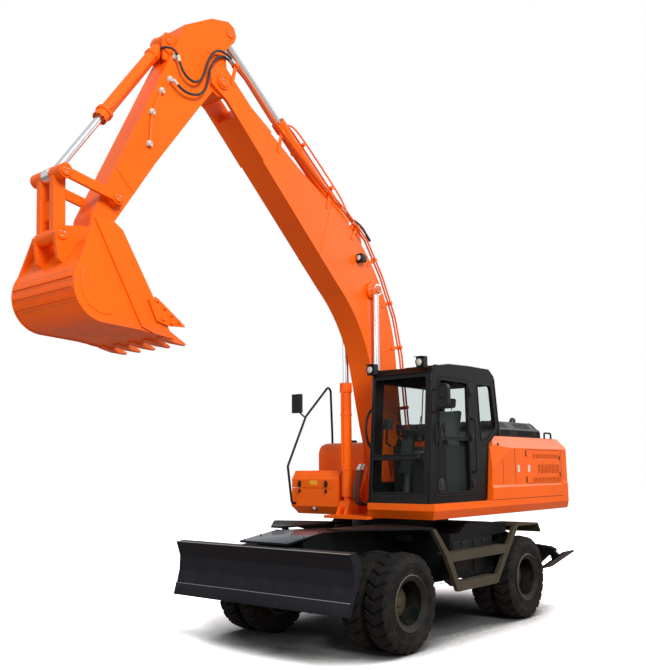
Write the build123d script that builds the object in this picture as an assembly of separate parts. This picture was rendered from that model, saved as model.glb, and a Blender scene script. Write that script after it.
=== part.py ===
"""Wheeled excavator: twin tyres, front dozer blade, rear outriggers, one-piece boom.

Millimetres.  X points to the blade and bucket, Y to the cab side, Z up from the ground.
Everything is drawn about the slew axis (x = 0, y = 0) and moved by -X_MID when it is saved,
so that the middle of the whole machine stands over the origin.
"""
import os
from math import cos, hypot, pi, radians, sin, tan

from build123d import *

# ---------------------------------------------------------------- driving dimensions
X_MID = 1300            # slew axis to the middle of the machine's length

TYRE_R = 527            # 10.00-20 twin tyres
TYRE_W = 278
TWIN = 325              # pitch of a pair
RIM_R = 299             # rim flange
WHEEL_Z = TYRE_R
AXLE_F, AXLE_R = 1600, -1130
OUTER_Y = 1108          # middle of the outer tyre
INNER_Y = OUTER_Y - TWIN
DISC_Y = (OUTER_Y + INNER_Y) / 2
KINGPIN_Y = 540

FRAME_Y = 345           # half width of the chassis frame
FRAME_TOP = 1165
BULGE_TOP = 760         # recess in the frame over each axle's middle
DECK_TOP = 1288
DECK_BACK = 1085        # rear outer corner of the front deck
LOCKER_TOP = 1274
RING_R, RING_TOP = 635, 1344.7          # slew ring

SIDE_Y = 1236           # half width of the upper structure
SKIRT_TOP = 1544
SKIRT_RIDGE, SKIRT_BASE = SKIRT_TOP - 78, SKIRT_TOP - 181
SKIRT_IN = 70           # how far the lower band leans in
FRONT_L, FRONT_R = 1090, 780
TAIL = -2640
CW_FRONT = -2400        # counterweight seam
HOOD_SIDE, HOOD_TOP, HOOD_TOP_Y = 2210, 2370, 1030

CAB_IN, CAB_OUT = 285, 1160
CAB_FLOOR, CAB_ROOF = 1544.3, 3160
WALL = 40

BOOM_Y = -50            # the boom stands a little to the right, clear of the cab
BOOM_W = 170            # half widths
ARM_W = 140
FORK_IN, FORK_OUT = 145, 185      # arm end, bucket ears and boom fork
CYL_Y = 255             # boom cylinders, either side of the boom
ROCKER_Y = 196          # inner face of the rockers

RUN = 0.3               # running clearance at pins, slides and seats

# pins seen from the side (x, z)
FOOT = (200, 1850)
TIP = (3410, 6150)
BOOM_CYL = ((740, 1472), (740, 4240))
ARM_CYL = ((940, 5030), (3260, 6800))
BUCKET_CYL = ((4100, 6380), (5315, 4585))
ROCKER_PIN = (4745, 4480)
LINK_PIN = BUCKET_CYL[1]
H_PIN = (5290, 4020)
BUCKET_PIN = (4900, 4050)

# blade linkage: a parallelogram on each side
BLADE_LOW = ((2140, 500), (2440, 790))
BLADE_UP = ((2090, 760), (2390, 1050))
BLADE_CYL = ((1800, 1010), (2440, 790))
BLADE_Y = 1295
LINK_Y = (204, 258)     # blade arms and links, between the blade's two lugs
BLADE_CYL_Y = 110

# rear outriggers, seen from behind (y, z), left side
LEG_X = -2020
LEG_PIN = (420, 620)
PAD_PIN = (1180, 790)
LEG_CYL = ((330, 1040), (900, 800))

# places to fasten things: a towing plate behind, lifting eyes on the counterweight
TOW_X, TOW_Z, TOW_R, TOW_T = -2180, 600, 28, 30
LIFT_X, LIFT_Y, LIFT_Z, LIFT_R, LIFT_T = -2560, 600, 2425, 25, 30


# ---------------------------------------------------------------- small helpers
def side(points, y0, y1):
    """A flat outline (x, z) given thickness from y0 to y1."""
    face = make_face(Polyline(*[(x, y0, z) for x, z in points], close=True))
    return extrude(face, amount=y1 - y0, dir=(0, 1, 0))


def across(points, x0, x1):
    """A cross-section (y, z) run along the machine from x0 to x1."""
    face = make_face(Polyline(*[(x0, y, z) for y, z in points], close=True))
    return extrude(face, amount=x1 - x0, dir=(1, 0, 0))


def plan(points, z0, z1):
    """A plan outline (x, y) given height from z0 to z1."""
    face = make_face(Polyline(*[(x, y, z0) for x, y in points], close=True))
    return extrude(face, amount=z1 - z0, dir=(0, 0, 1))


def box(x0, x1, y0, y1, z0, z1):
    return Pos((x0 + x1) / 2, (y0 + y1) / 2, (z0 + z1) / 2) * Box(abs(x1 - x0), abs(y1 - y0), abs(z1 - z0))


def pin(centre, radius, y0, y1):
    """A round bar across the machine, centre given as (x, z)."""
    x, z = centre
    return Pos(x, (y0 + y1) / 2, z) * Rot(90, 0, 0) * Cylinder(radius, abs(y1 - y0))


def rod(start, end, radius):
    """A round bar between two points in space."""
    a, b = Vector(*start), Vector(*end)
    plane = Plane(origin=a, z_dir=(b - a).normalized())
    return extrude(plane * Circle(radius), amount=(b - a).length)


def bar(start, end, width, y0, y1):
    """A flat link with round ends between two side-view points."""
    (xa, za), (xb, zb) = start, end
    length = hypot(xb - xa, zb - za)
    nx, nz = -(zb - za) / length * width / 2, (xb - xa) / length * width / 2
    web = side([(xa + nx, za + nz), (xb + nx, zb + nz), (xb - nx, zb - nz), (xa - nx, za - nz)], y0, y1)
    return web + pin(start, width / 2, y0, y1) + pin(end, width / 2, y0, y1)


def mirrored(shape):
    return mirror(shape, about=Plane.XZ)


def both(shape):
    return shape + mirrored(shape)


def along(start, end, distance):
    """The point a distance from start towards end, side view."""
    (xa, za), (xb, zb) = start, end
    length = hypot(xb - xa, zb - za)
    return (xa + (xb - xa) * distance / length, za + (zb - za) * distance / length)


def barrel(base, tip, radius, length, eye, rod_radius, y=0):
    """Cylinder barrel: base eye, tube and gland head, bored for its rod."""
    def at(distance):
        x, z = along(base, tip, distance)
        return (x, y, z)
    body = pin(base, radius * 1.12, y - eye, y + eye)
    body += rod(at(radius * 0.5), at(radius * 2), radius * 0.6)
    body += rod(at(radius * 1.8), at(length), radius)
    body += rod(at(length - 95), at(length + 28), radius * 1.13)
    return body - rod(at(radius * 2.5), at(length + 40), rod_radius + RUN)


def piston(base, tip, radius, start, eye, y=0):
    """Piston rod: from inside the barrel to the eye on the far pin."""
    def at(distance):
        x, z = along(base, tip, distance)
        return (x, y, z)
    whole = hypot(tip[0] - base[0], tip[1] - base[1])
    body = rod(at(start), at(whole - radius), radius)
    return body + pin(tip, radius * 1.9, y - eye, y + eye)


# ---------------------------------------------------------------- chassis
def chassis_frame():
    spine = side([(-1880, 700), (-1880, 1080), (-1600, FRAME_TOP), (2000, FRAME_TOP + 85),
                  (2330, FRAME_TOP), (2330, 1085), (2010, 1085), (2010, 640), (900, 700)],
                 -FRAME_Y, FRAME_Y)
    spine -= box(1700, 2400, -200, 200, 600, 1140)
    for x in (AXLE_F, AXLE_R):
        spine -= box(x - 270, x + 270, -215, 215, 500, BULGE_TOP)
    cheeks = both(side([(1900, 1085), (1900, 640), (2060, 410), (2200, 410), (2230, 560), (2180, 830),
                        (2180, 1085)], 298, FRAME_Y))
    cheeks += both(pin(BLADE_LOW[0], 35, LINK_Y[1] + RUN, 300))
    cheeks += both(pin(BLADE_UP[0], 30, LINK_Y[1] + RUN, 300))
    hang = side([(1690, 940), (1690, 1090), (1780, 1080), (1860, 1045), (1870, 1000), (1840, 955)],
                BLADE_CYL_Y + 40 + RUN, BLADE_CYL_Y + 65)
    hang += side([(1690, 940), (1690, 1090), (1780, 1080), (1860, 1045), (1870, 1000), (1840, 955)],
                 BLADE_CYL_Y - 65, BLADE_CYL_Y - 40 - RUN)
    cover = side([(1990, 1235), (1990, 1255), (2600, 1172), (2600, 1152)], -360, 360)
    pedestal = Pos(0, 0, 1120) * Cylinder(RING_R + 60, 110)
    ring = Pos(0, 0, (1165 + RING_TOP) / 2) * Cylinder(RING_R, RING_TOP - 1165)
    drop_box = box(-520, -60, -330, 330, 470, 760)
    bracket = [(-490, 560), (-490, 720), (-400, 1120), (400, 1120), (490, 720), (490, 560)]
    rear_box = across(bracket, LEG_X - 80, LEG_X - 58) + across(bracket, LEG_X + 58, -1875)
    rear_box += box(LEG_X - 80, -1875, -240, 240, 560, 1100)
    tow = plan([(LEG_X - 70, -120), (LEG_X - 70, 120), (TOW_X, 70), (TOW_X - 60, 40), (TOW_X - 60, -40),
                (TOW_X, -70)], TOW_Z, TOW_Z + TOW_T)
    tow -= Pos(TOW_X, 0, TOW_Z) * Cylinder(TOW_R, 200)
    return spine + cheeks + both(hang) + cover + pedestal + ring + drop_box + rear_box + tow


def chassis_sides():
    """Battery and tool lockers with the plates over the front wheels, either side of the frame."""
    deck = plan([(1930, FRAME_Y), (1930, 520), (1150, 1210), (DECK_BACK, 1210), (760, FRAME_Y)],
                DECK_TOP - 22, DECK_TOP)
    gusset = across([(FRAME_Y, 1120), (FRAME_Y, DECK_TOP - 20), (1150, DECK_TOP - 20), (1150, 1235)], 960, 990)
    locker = side([(-550, 640), (-550, 1095), (-930, 1110), (-930, 1228), (-404, LOCKER_TOP), (97, LOCKER_TOP),
                   (257, 1166), (480, 1166), (480, 640)], FRAME_Y, 1050)
    bridge = box(280, 990, 600, 660, 1160, 1210)
    one = deck + gusset + locker + bridge
    one -= Pos(0, 0, 1120) * Cylinder(RING_R + 60 + RUN, 110 + 2 * RUN)
    one -= Pos(0, 0, 1250) * Cylinder(RING_R + RUN, 300)
    return one + mirrored(one)


def side_steps():
    """Ladder either side: two slanting legs, two treads, and the guard over the rear wheels."""
    outer, inner = 1200, 1150
    leg_front = side([(1090, DECK_TOP - 24), (800, 938), (585, 550), (560, 525), (470, 525), (690, 905), (735, 975),
                      (1010, DECK_TOP - 24)], inner, outer)
    leg_back = side([(-285, 525), (-395, 525), (-1000, 1190), (-1000, 1215), (-890, 1190)], inner, outer)
    parts = leg_front + leg_back
    for x0, x1, z0, z1, y in ((-400, 540, 525, 632, 1060), (-680, 770, 872, 975, 1050 + RUN)):
        parts += box(x0, x1, inner, outer, z0, z1) + box(x0, x1, y, inner, z1 - 25, z1)
    guard = side([(-930 - RUN, 1190), (-930 - RUN, 1213), (-1585, 1203), (-1662, 1080), (-1640, 1074),
                  (-1572, 1180)], 640, outer)
    return both(parts + guard)


def axle_beam(x):
    beam = rod((x, -430, WHEEL_Z), (x, 430, WHEEL_Z), 95)
    bulge = Pos(x, 0, WHEEL_Z) * Rot(90, 0, 0) * Cone(215, 120, 170)
    return beam + bulge + mirrored(bulge)


def front_axle():
    x = AXLE_F
    yoke = box(x - 75, x + 75, 400, 470, WHEEL_Z - 140, WHEEL_Z + 140)
    for z0, z1 in ((WHEEL_Z + 105, WHEEL_Z + 145), (WHEEL_Z - 145, WHEEL_Z - 105)):
        yoke += box(x - 60, x + 60, 430, KINGPIN_Y, z0, z1)
        yoke += Pos(x, KINGPIN_Y, (z0 + z1) / 2) * Cylinder(60, z1 - z0)
    mount = box(x - 180, x - 100, -90, 90, WHEEL_Z, BULGE_TOP)
    mount += box(x + 100, x + 180, -90, 90, WHEEL_Z, BULGE_TOP)
    return axle_beam(x) + yoke + mirrored(yoke) + mount


def rear_axle():
    x = AXLE_R
    drum = rod((x, 400, WHEEL_Z), (x, DISC_Y - 20, WHEEL_Z), 150)
    drum += rod((x, DISC_Y - 30, WHEEL_Z), (x, DISC_Y + 35, WHEEL_Z), 72 - RUN)
    mount = both(box(x - 120, x + 120, 225, 335, WHEEL_Z + 30, 700 - RUN))
    return axle_beam(x) + drum + mirrored(drum) + mount


def knuckle():
    x = AXLE_F
    post = Pos(x, KINGPIN_Y, WHEEL_Z) * Cylinder(58, 2 * (105 - RUN))
    drum = rod((x, KINGPIN_Y + 30, WHEEL_Z), (x, DISC_Y - 20, WHEEL_Z), 150)
    drum -= Pos(x, KINGPIN_Y, WHEEL_Z) * Cylinder(100, 400)
    drum += rod((x, KINGPIN_Y, WHEEL_Z), (x, KINGPIN_Y + 140, WHEEL_Z), 95)
    drum += rod((x, DISC_Y - 30, WHEEL_Z), (x, DISC_Y + 35, WHEEL_Z), 72 - RUN)
    steer = box(x - 230, x - 40, KINGPIN_Y - 20, KINGPIN_Y + 60, WHEEL_Z - 30, WHEEL_Z + 30)
    return post + drum + steer


def ring_of(section, x):
    """Turn a section of (radius, y) about the axle at x."""
    face = make_face(Polyline(*[(x, y, WHEEL_Z + r) for r, y in section], close=True))
    return revolve(face, Axis((x, 0, WHEEL_Z), (0, 1, 0)), 360)


LUGS = 24
LUG_HALF = 4.75         # half a lug's width, degrees
# stations across the tyre: offset from its middle, tip radius, root radius, turn of the lugs in degrees
TREAD = ((-112, 513, 486, 7), (0, TYRE_R / cos(radians(LUG_HALF)), 500, 0), (112, 513, 486, 7))
# rings below the tread on each side: offset from the middle, radius
SIDEWALL = ((TYRE_W / 2, 425), (127, 300), (98, (250 + RUN) / cos(pi / LUGS)))


def triangle(*corners):
    return make_face(Polyline(*corners, close=True))


def tyre(x, y):
    """A tyre with chevron lugs: three tread stations joined by flat facets, then rings down each side."""
    def at(angle, radius, offset):
        return (x + radius * sin(radians(angle)), y + offset, WHEEL_Z - radius * cos(radians(angle)))

    def lug_line(offset, tip, root, turn):
        line = []
        for i in range(LUGS):
            middle = i * 360 / LUGS + turn
            line += [at(middle - LUG_HALF, tip, offset), at(middle + LUG_HALF, tip, offset),
                     at(middle + 180 / LUGS, root, offset)]
        return line

    faces = []
    rows = [lug_line(*station) for station in TREAD]
    for one, two in zip(rows, rows[1:]):
        for i in range(len(one)):
            j = (i + 1) % len(one)
            faces += [triangle(one[i], one[j], two[j]), triangle(one[i], two[j], two[i])]
    bores = []
    for row, sign, turn in ((rows[0], -1, TREAD[0][3]), (rows[-1], 1, TREAD[-1][3])):
        rings = [[at(i * 360 / LUGS + turn, radius, sign * offset) for i in range(LUGS)]
                 for offset, radius in SIDEWALL]
        for i in range(LUGS):
            j = (i + 1) % LUGS
            first, last, valley, following = row[3 * i], row[3 * i + 1], row[3 * i + 2], row[3 * j]
            faces += [triangle(first, last, rings[0][i]), triangle(last, valley, rings[0][i]),
                      triangle(valley, rings[0][j], rings[0][i]), triangle(valley, following, rings[0][j])]
            for outer, lower in zip(rings, rings[1:]):
                faces.append(triangle(outer[i], outer[j], lower[j], lower[i]))
        bores.append(rings[-1])
    for i in range(LUGS):
        j = (i + 1) % LUGS
        faces.append(triangle(bores[0][i], bores[0][j], bores[1][j], bores[1][i]))
    return Solid(Shell(faces))


def tyres(x):
    return Compound([tyre(x, y) for y in (OUTER_Y, INNER_Y)])


def rims(x):
    outer = [(232, OUTER_Y - 100), (250, OUTER_Y - 100), (250, OUTER_Y + 98), (RIM_R, OUTER_Y + 130),
             (RIM_R - 10, OUTER_Y + 138), (232, OUTER_Y + 104)]
    inner = [(232, INNER_Y - 104), (RIM_R - 10, INNER_Y - 138), (RIM_R, INNER_Y - 130), (250, INNER_Y - 98),
             (250, INNER_Y + 100), (232, INNER_Y + 100)]
    disc = [(72, DISC_Y - 14), (232, DISC_Y - 14), (232, INNER_Y + 96), (249, INNER_Y + 96),
            (249, OUTER_Y - 96), (232, OUTER_Y - 96), (232, DISC_Y + 14), (175, DISC_Y + 14),
            (160, DISC_Y + 110), (110, DISC_Y + 130), (0, DISC_Y + 130), (0, DISC_Y + 40), (72, DISC_Y + 40)]
    return ring_of(outer, x) + ring_of(inner, x) + ring_of(disc, x)


# ---------------------------------------------------------------- blade
def blade():
    plate = side([(2720, 1125), (2620, 1138), (2550, 1060), (2540, 920), (2612, 780), (2722, 535), (2748, 535),
                  (2705, 660), (2668, 800), (2660, 960)], -BLADE_Y, BLADE_Y)
    low, up = BLADE_LOW[1], BLADE_UP[1]
    lug = side([(low[0] - 65, low[1] - 50), (up[0] - 55, up[1]), (up[0] - 20, up[1] + 55), (2560, 1070),
                (2560, 900), (2620, 770), (low[0] + 20, low[1] - 65)], LINK_Y[1] + RUN, 292)
    lug += side([(low[0] - 65, low[1] - 50), (up[0] - 55, up[1]), (up[0] - 20, up[1] + 55), (2560, 1070),
                 (2560, 900), (2620, 770), (low[0] + 20, low[1] - 65)], 172, LINK_Y[0] - RUN)
    return plate + both(lug)


def blade_arms():
    return both(bar(*BLADE_LOW, 90, *LINK_Y))


def blade_links():
    return both(bar(*BLADE_UP, 70, *LINK_Y))


def blade_barrels():
    one = barrel(*BLADE_CYL, 55, 430, 40, 32, BLADE_CYL_Y)
    return both(one)


def blade_rods():
    one = piston(*BLADE_CYL, 32, 250, 172 - RUN - BLADE_CYL_Y, BLADE_CYL_Y)
    return both(one)


# ---------------------------------------------------------------- outriggers (left; right is its mirror)
def leg():
    (ya, za), (yb, zb) = LEG_PIN, PAD_PIN
    cheek = [(ya - 65, za - 30), (ya - 55, za + 50), (840, 870), (960, 870), (yb - 20, zb + 60),
             (yb + 55, zb + 30), (yb + 55, zb - 40), (yb - 60, zb - 70), (900, 520), (ya, za - 70)]
    web = [(ya - 65, za - 30), (ya - 50, za + 30), (760, 680), (1060, 700), (1080, 680), (900, 520), (ya, za - 70)]
    plates = across(cheek, LEG_X - 50, LEG_X - 30) + across(cheek, LEG_X + 30, LEG_X + 50)
    return plates + across(web, LEG_X - 30, LEG_X + 30) + x_pin(LEG_PIN, 62, LEG_X - 58 + RUN, LEG_X + 58 - RUN)


def pad():
    y, z = PAD_PIN
    sole = across([(-210, -150), (210, -150), (210, -125), (-210, -125)], LEG_X - 180, LEG_X + 180)
    lug = across([(-70, -130), (-30, 25), (0, 40), (30, 25), (70, -130)], LEG_X - 30 + RUN, LEG_X + 30 - RUN)
    turned = Rot(34, 0, 0) * (sole + lug)
    return Pos(0, y, z) * turned


def x_pin(centre, radius, x0, x1):
    y, z = centre
    return Pos((x0 + x1) / 2, y, z) * Rot(0, 90, 0) * Cylinder(radius, abs(x1 - x0))


def leg_barrel():
    (ya, za), (yb, zb) = LEG_CYL
    whole = hypot(yb - ya, zb - za)
    def at(d):
        return (LEG_X, ya + (yb - ya) * d / whole, za + (zb - za) * d / whole)
    body = x_pin((ya, za), 50, LEG_X - 58 + RUN, LEG_X + 58 - RUN) + rod(at(20), at(430), 48)
    return body - rod(at(100), at(450), 28 + RUN)


def leg_rod():
    (ya, za), (yb, zb) = LEG_CYL
    whole = hypot(yb - ya, zb - za)
    def at(d):
        return (LEG_X, ya + (yb - ya) * d / whole, za + (zb - za) * d / whole)
    return x_pin((yb, zb), 45, LEG_X - 30 + RUN, LEG_X + 30 - RUN) + rod(at(260), at(whole - 20), 28)


# ---------------------------------------------------------------- upper structure
def skirt_block(y0, y1, front, out):
    """One side of the platform; out is the side (+1 left, -1 right) whose edge is bevelled."""
    edge, inner = (y1, y0) if out > 0 else (y0, y1)
    section = [(inner, SKIRT_BASE), (inner, SKIRT_TOP), (edge, SKIRT_TOP), (edge, SKIRT_RIDGE),
               (edge - out * SKIRT_IN, SKIRT_BASE)]
    length = [(CW_FRONT, SKIRT_BASE), (CW_FRONT, SKIRT_TOP), (front, SKIRT_TOP), (front, SKIRT_RIDGE),
              (front - SKIRT_IN, SKIRT_BASE)]
    return across(section, CW_FRONT, front) & side(length, min(y0, y1), max(y0, y1))


def platform():
    left = skirt_block(CAB_IN, SIDE_Y, FRONT_L, 1)
    right = skirt_block(-SIDE_Y, -420, FRONT_R, -1)
    floor = plan([(1120, BOOM_Y - 330), (1120, BOOM_Y + 345), (CW_FRONT, BOOM_Y + 345),
                  (CW_FRONT, -430), (700, -430)], 1345, 1380)
    swing = box(-850, -60, -420, 240, 1370, 1760)
    bracket = side([(-620, 1370), (-420, 1560), (60, 1920), (120, 1995), (200, 2020), (300, 1975), (350, 1880),
                    (520, 1520), (560, 1370)], 230, 270)
    bracket -= pin(FOOT, 62, 200, 300)
    cap = pin(FOOT, 95, 270, 282)
    base = BOOM_CYL[0]
    lugs = None
    for y0, y1 in ((165, CYL_Y - 45 - RUN), (CYL_Y + 45 + RUN, 330)):
        lug = side([(base[0] - 150, 1370), (base[0] - 80, base[1] + 20), (base[0] - 40, base[1] + 75),
                    (base[0] + 40, base[1] + 75), (base[0] + 80, base[1] + 20), (base[0] + 150, 1370)], y0, y1)
        lugs = lug if lugs is None else lugs + lug
    front = Pos(0, BOOM_Y, 0) * both(bracket + cap + lugs)
    return left + right + floor + swing + front


def counterweight():
    outline = [(CW_FRONT - RUN, SIDE_Y), (-2560, SIDE_Y), (TAIL, 1180), (-2760, 800), (-2800, 0),
               (-2760, -800), (TAIL, -1180), (-2560, -SIDE_Y), (CW_FRONT - RUN, -SIDE_Y)]
    body = plan(outline, SKIRT_BASE, HOOD_TOP)
    section = []
    for s in (1, -1):
        half = [(SIDE_Y - SKIRT_IN, SKIRT_BASE), (SIDE_Y, SKIRT_RIDGE), (SIDE_Y, 1716), (SIDE_Y - 20, 1760),
                (SIDE_Y - 20, HOOD_SIDE), (HOOD_TOP_Y, HOOD_TOP)]
        section += [(s * y, z) for y, z in (half if s > 0 else reversed(half))]
    body &= across(section, -2900, CW_FRONT)
    length = [(CW_FRONT, SKIRT_BASE), (CW_FRONT, HOOD_TOP), (-2700, HOOD_TOP), (-2790, 2240), (-2810, 1500),
              (-2740, SKIRT_BASE)]
    body &= side(length, -1300, 1300)
    eye = side([(LIFT_X - 90, HOOD_TOP), (LIFT_X - 45, LIFT_Z + 30), (LIFT_X - 15, LIFT_Z + 50),
                (LIFT_X + 15, LIFT_Z + 50), (LIFT_X + 45, LIFT_Z + 30), (LIFT_X + 90, HOOD_TOP)],
               LIFT_Y - LIFT_T / 2, LIFT_Y + LIFT_T / 2)
    eye -= pin((LIFT_X, LIFT_Z), LIFT_R, LIFT_Y - 50, LIFT_Y + 50)
    return body + both(eye)


HOUSING = [(SIDE_Y, SKIRT_TOP), (SIDE_Y, 1700), (SIDE_Y - 20, 1730), (SIDE_Y - 20, HOOD_SIDE),
           (HOOD_TOP_Y, HOOD_TOP)]


def housing_section(inset):
    half = [(y - inset, z if i == 0 else z - inset * (z > 2000)) for i, (y, z) in enumerate(HOUSING)]
    return half + [(-y, z) for y, z in reversed(half)]


DOOR_X = (-2370, -1270)
DOOR_Z = (1735, 2195)
HOOD_X = (-2430, -1130)
HOOD_HALF = 900
SLOT, SLOT_PITCH = 18, 45       # louvre slots in the side doors
# rows of louvres in a side door: x from, x to, z from, z to
LOUVRES = ((-2330, -1440, 2075, 2135), (-2330, -1574, 1868, 1992), (-2350, -1450, 1752, 1812))
VENTS = ((-1430, -1160), (-2140, -1640), (-2400, -2240))        # groups of slots along the hood, x from, x to
FACET = ((-268, SIDE_Y - 20, 1906), (-813, SIDE_Y - 20, HOOD_SIDE - 18), (-480, SIDE_Y - 60, 2244))


def engine_housing():
    shell = across(housing_section(0), CW_FRONT, -950)
    shell -= across([(y, z + (12 if z < 1600 else 0)) for y, z in housing_section(30)], CW_FRONT - 5, -985)
    front = across([(300, SKIRT_TOP), (SIDE_Y, SKIRT_TOP), (SIDE_Y, 1700), (SIDE_Y - 20, 1730),
                    (SIDE_Y - 20, HOOD_SIDE), (HOOD_TOP_Y, HOOD_TOP), (300, HOOD_TOP)], -950, -270)
    front &= side([(-950, SKIRT_TOP), (-950, HOOD_TOP), (-900, HOOD_TOP), (-690, HOOD_TOP), (-370, 2210),
                   (-290, SKIRT_TOP)], 200, 1300)
    front -= side([(-250, 1500), (-250, 2700), (-700, 2700), (-672, 2430), (-372, 2262), (-262, 1550)], 200, 1166)
    right = across([(-SIDE_Y, SKIRT_TOP), (-SIDE_Y, 1700), (-SIDE_Y + 20, 1730), (-SIDE_Y + 20, HOOD_SIDE),
                    (-HOOD_TOP_Y, HOOD_TOP), (-430, HOOD_TOP), (-430, SKIRT_TOP)], -950, -660)
    first, second, third = (Vector(*p) for p in FACET)
    slope = Plane(origin=first, z_dir=(third - first).cross(second - first).normalized())
    front = split(front, bisect_by=slope, keep=Keep.BOTTOM if slope.z_dir.Z > 0 else Keep.TOP)
    shell -= box(DOOR_X[0], DOOR_X[1], -1300, 1300, *DOOR_Z)
    shell -= box(HOOD_X[0] + 60, HOOD_X[1] - 45, -HOOD_HALF + 45, HOOD_HALF - 45, 2200, 2500)
    return shell + front + right


def side_door():
    gap = 6
    panel = box(DOOR_X[0] + gap, DOOR_X[1] - RUN, SIDE_Y - 50, SIDE_Y - 20, DOOR_Z[0] + gap, DOOR_Z[1] - gap)
    slots = []
    for x0, x1, z0, z1 in LOUVRES:
        count = int((x1 - x0) / SLOT_PITCH)
        slots += [box(x0 + i * SLOT_PITCH, x0 + i * SLOT_PITCH + SLOT, SIDE_Y - 70, SIDE_Y, z0, z1)
                  for i in range(count)]
    return panel - slots


def hood():
    x0, x1 = HOOD_X
    foot = HOOD_TOP + RUN
    cap = across([(-HOOD_HALF, foot), (-HOOD_HALF, 2480), (-HOOD_HALF + 110, 2600), (HOOD_HALF - 110, 2600),
                  (HOOD_HALF, 2480), (HOOD_HALF, foot)], x0, x1)
    cap &= side([(x0, foot), (x0 + 20, 2500), (x0 + 90, 2600), (x1 - 30, 2600), (x1, 2560), (x1, foot)], -1000, 1000)
    inside = across([(-HOOD_HALF + 25, 2300), (-HOOD_HALF + 25, 2468), (-HOOD_HALF + 120, 2572),
                     (HOOD_HALF - 120, 2572), (HOOD_HALF - 25, 2468), (HOOD_HALF - 25, 2300)], x0 + 35, x1 - 35)
    slots = []
    for start, end in VENTS:
        for i in range(int((end - start) / 60)):
            slots.append(box(start + i * 60, start + i * 60 + 30, -1000, 1000, 2395, 2465))
            slots.append(box(start + i * 60, start + i * 60 + 30, HOOD_HALF - 96, HOOD_HALF - 20, 2505, 2590))
            slots.append(box(start + i * 60, start + i * 60 + 30, -HOOD_HALF + 20, -HOOD_HALF + 96, 2505, 2590))
    return cap - inside - slots


def engine_block():
    return box(-2100, -1250, -560, 560, SKIRT_TOP + 12, 2330)


def fuel_tank():
    """Steel tank, its top rounded down to the front and its long edges bevelled."""
    x0, x1, top, bend = -655, 215, 2310, 170
    edge = [Line((x0, SKIRT_TOP), (x1, SKIRT_TOP)), Line((x1, SKIRT_TOP), (x1, top - bend)),
            ThreePointArc((x1, top - bend), (x1 - bend * 0.293, top - bend * 0.293), (x1 - bend, top)),
            Line((x1 - bend, top), (x0, top)), Line((x0, top), (x0, SKIRT_TOP))]
    body = slab_of(make_face(Wire(edge)), -1225, -430)
    return body & across([(-1225, SKIRT_TOP), (-1225, top - 40), (-1185, top), (-470, top), (-430, top - 40),
                          (-430, SKIRT_TOP)], x0, x1)


LID_Z = 1700


def toolbox():
    shell = side([(225, SKIRT_TOP), (225, 1930), (700, 1930), (FRONT_R - 4, 1815), (FRONT_R - 4, SKIRT_TOP)],
                 -1230, -425)
    shell -= side([(250, SKIRT_TOP + 25), (250, 1905), (690, 1905), (FRONT_R - 29, 1805),
                   (FRONT_R - 29, SKIRT_TOP + 25)], -1205, -540)
    return shell - box(262, 900, -1300, -530, LID_Z, 2000)


def toolbox_lid():
    gap = 5
    shell = side([(262 + RUN, LID_Z + gap), (262 + RUN, 1930), (700, 1930), (FRONT_R - 4, 1815),
                  (FRONT_R - 4, LID_Z + gap)], -1230, -530 - gap)
    return shell - side([(240, 1600), (240, 1905), (690, 1905), (FRONT_R - 29, 1805), (FRONT_R - 29, 1600)],
                        -1205, -560)


# ---------------------------------------------------------------- cab
CAB_SIDE = [(1070, CAB_FLOOR), (930, 3090), (880, CAB_ROOF), (780, CAB_ROOF), (560, 3195), (100, 3212),
            (-430, 3212), (-560, 3120), (-655, 2440), (-355, 2275), (-255, CAB_FLOOR)]
CORNER = 45             # rounding of the window corners
PANES = (
    # door windows, outlines (x, z)
    [(833, 2321), (788, 3003), (135, 3003), (135, 2321)],
    [(880, 1668), (837, 2290), (135, 2290), (135, 1668)],
)
QUARTER = [(-165, 2295), (-112, 3010), (-462, 3010), (-565, 2475), (-325, 2295)]
OFFSIDE = [(850, 1780), (755, 3010), (-440, 3010), (-560, 2490), (-300, 2330), (-240, 1780)]
DOOR = [(955, 1625), (830, 3035), (105, 3035), (105, 1625)]


def pane(outline, y0, y1):
    """A window outline (x, z) with rounded corners, given thickness."""
    face = make_face(Polyline(*outline, close=True))
    return slab_of(fillet(face.vertices(), CORNER), y0, y1)


def screen(z0, z1, y0, y1, x0, x1):
    """A window across the cab with rounded corners, between two heights."""
    face = Plane.YZ * (Pos((y0 + y1) / 2, (z0 + z1) / 2) * RectangleRounded(y1 - y0, z1 - z0, CORNER))
    return extrude(Pos(x0, 0, 0) * face, amount=x1 - x0, dir=(1, 0, 0))


def inner_side(inset):
    """The cab's side outline moved in by inset."""
    wire = make_face(Polyline(*CAB_SIDE, close=True))
    smaller = offset(wire, amount=-inset, kind=Kind.INTERSECTION)
    return smaller


def cab_slab(inset, y0, y1):
    return extrude(Plane((0, y0, 0), x_dir=(1, 0, 0), z_dir=(0, -1, 0)) * inner_side(inset), amount=-(y1 - y0))


def grown(points, by):
    """A convex outline moved out by a gap."""
    face = offset(make_face(Polyline(*points, close=True)), amount=by, kind=Kind.INTERSECTION)
    return face


def slab_of(face, y0, y1):
    return extrude(Plane((0, y0, 0), x_dir=(1, 0, 0), z_dir=(0, -1, 0)) * face, amount=-(y1 - y0))


FRONT_CUTS = ((1665, 2055), (2110, 3035))      # windscreen: lower and upper pane
FRONT_Y = (CAB_IN + 40, CAB_OUT - 80)
REAR_CUT = (2500, 3020)
REAR_Y = (CAB_IN + 80, CAB_OUT - 80)


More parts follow.
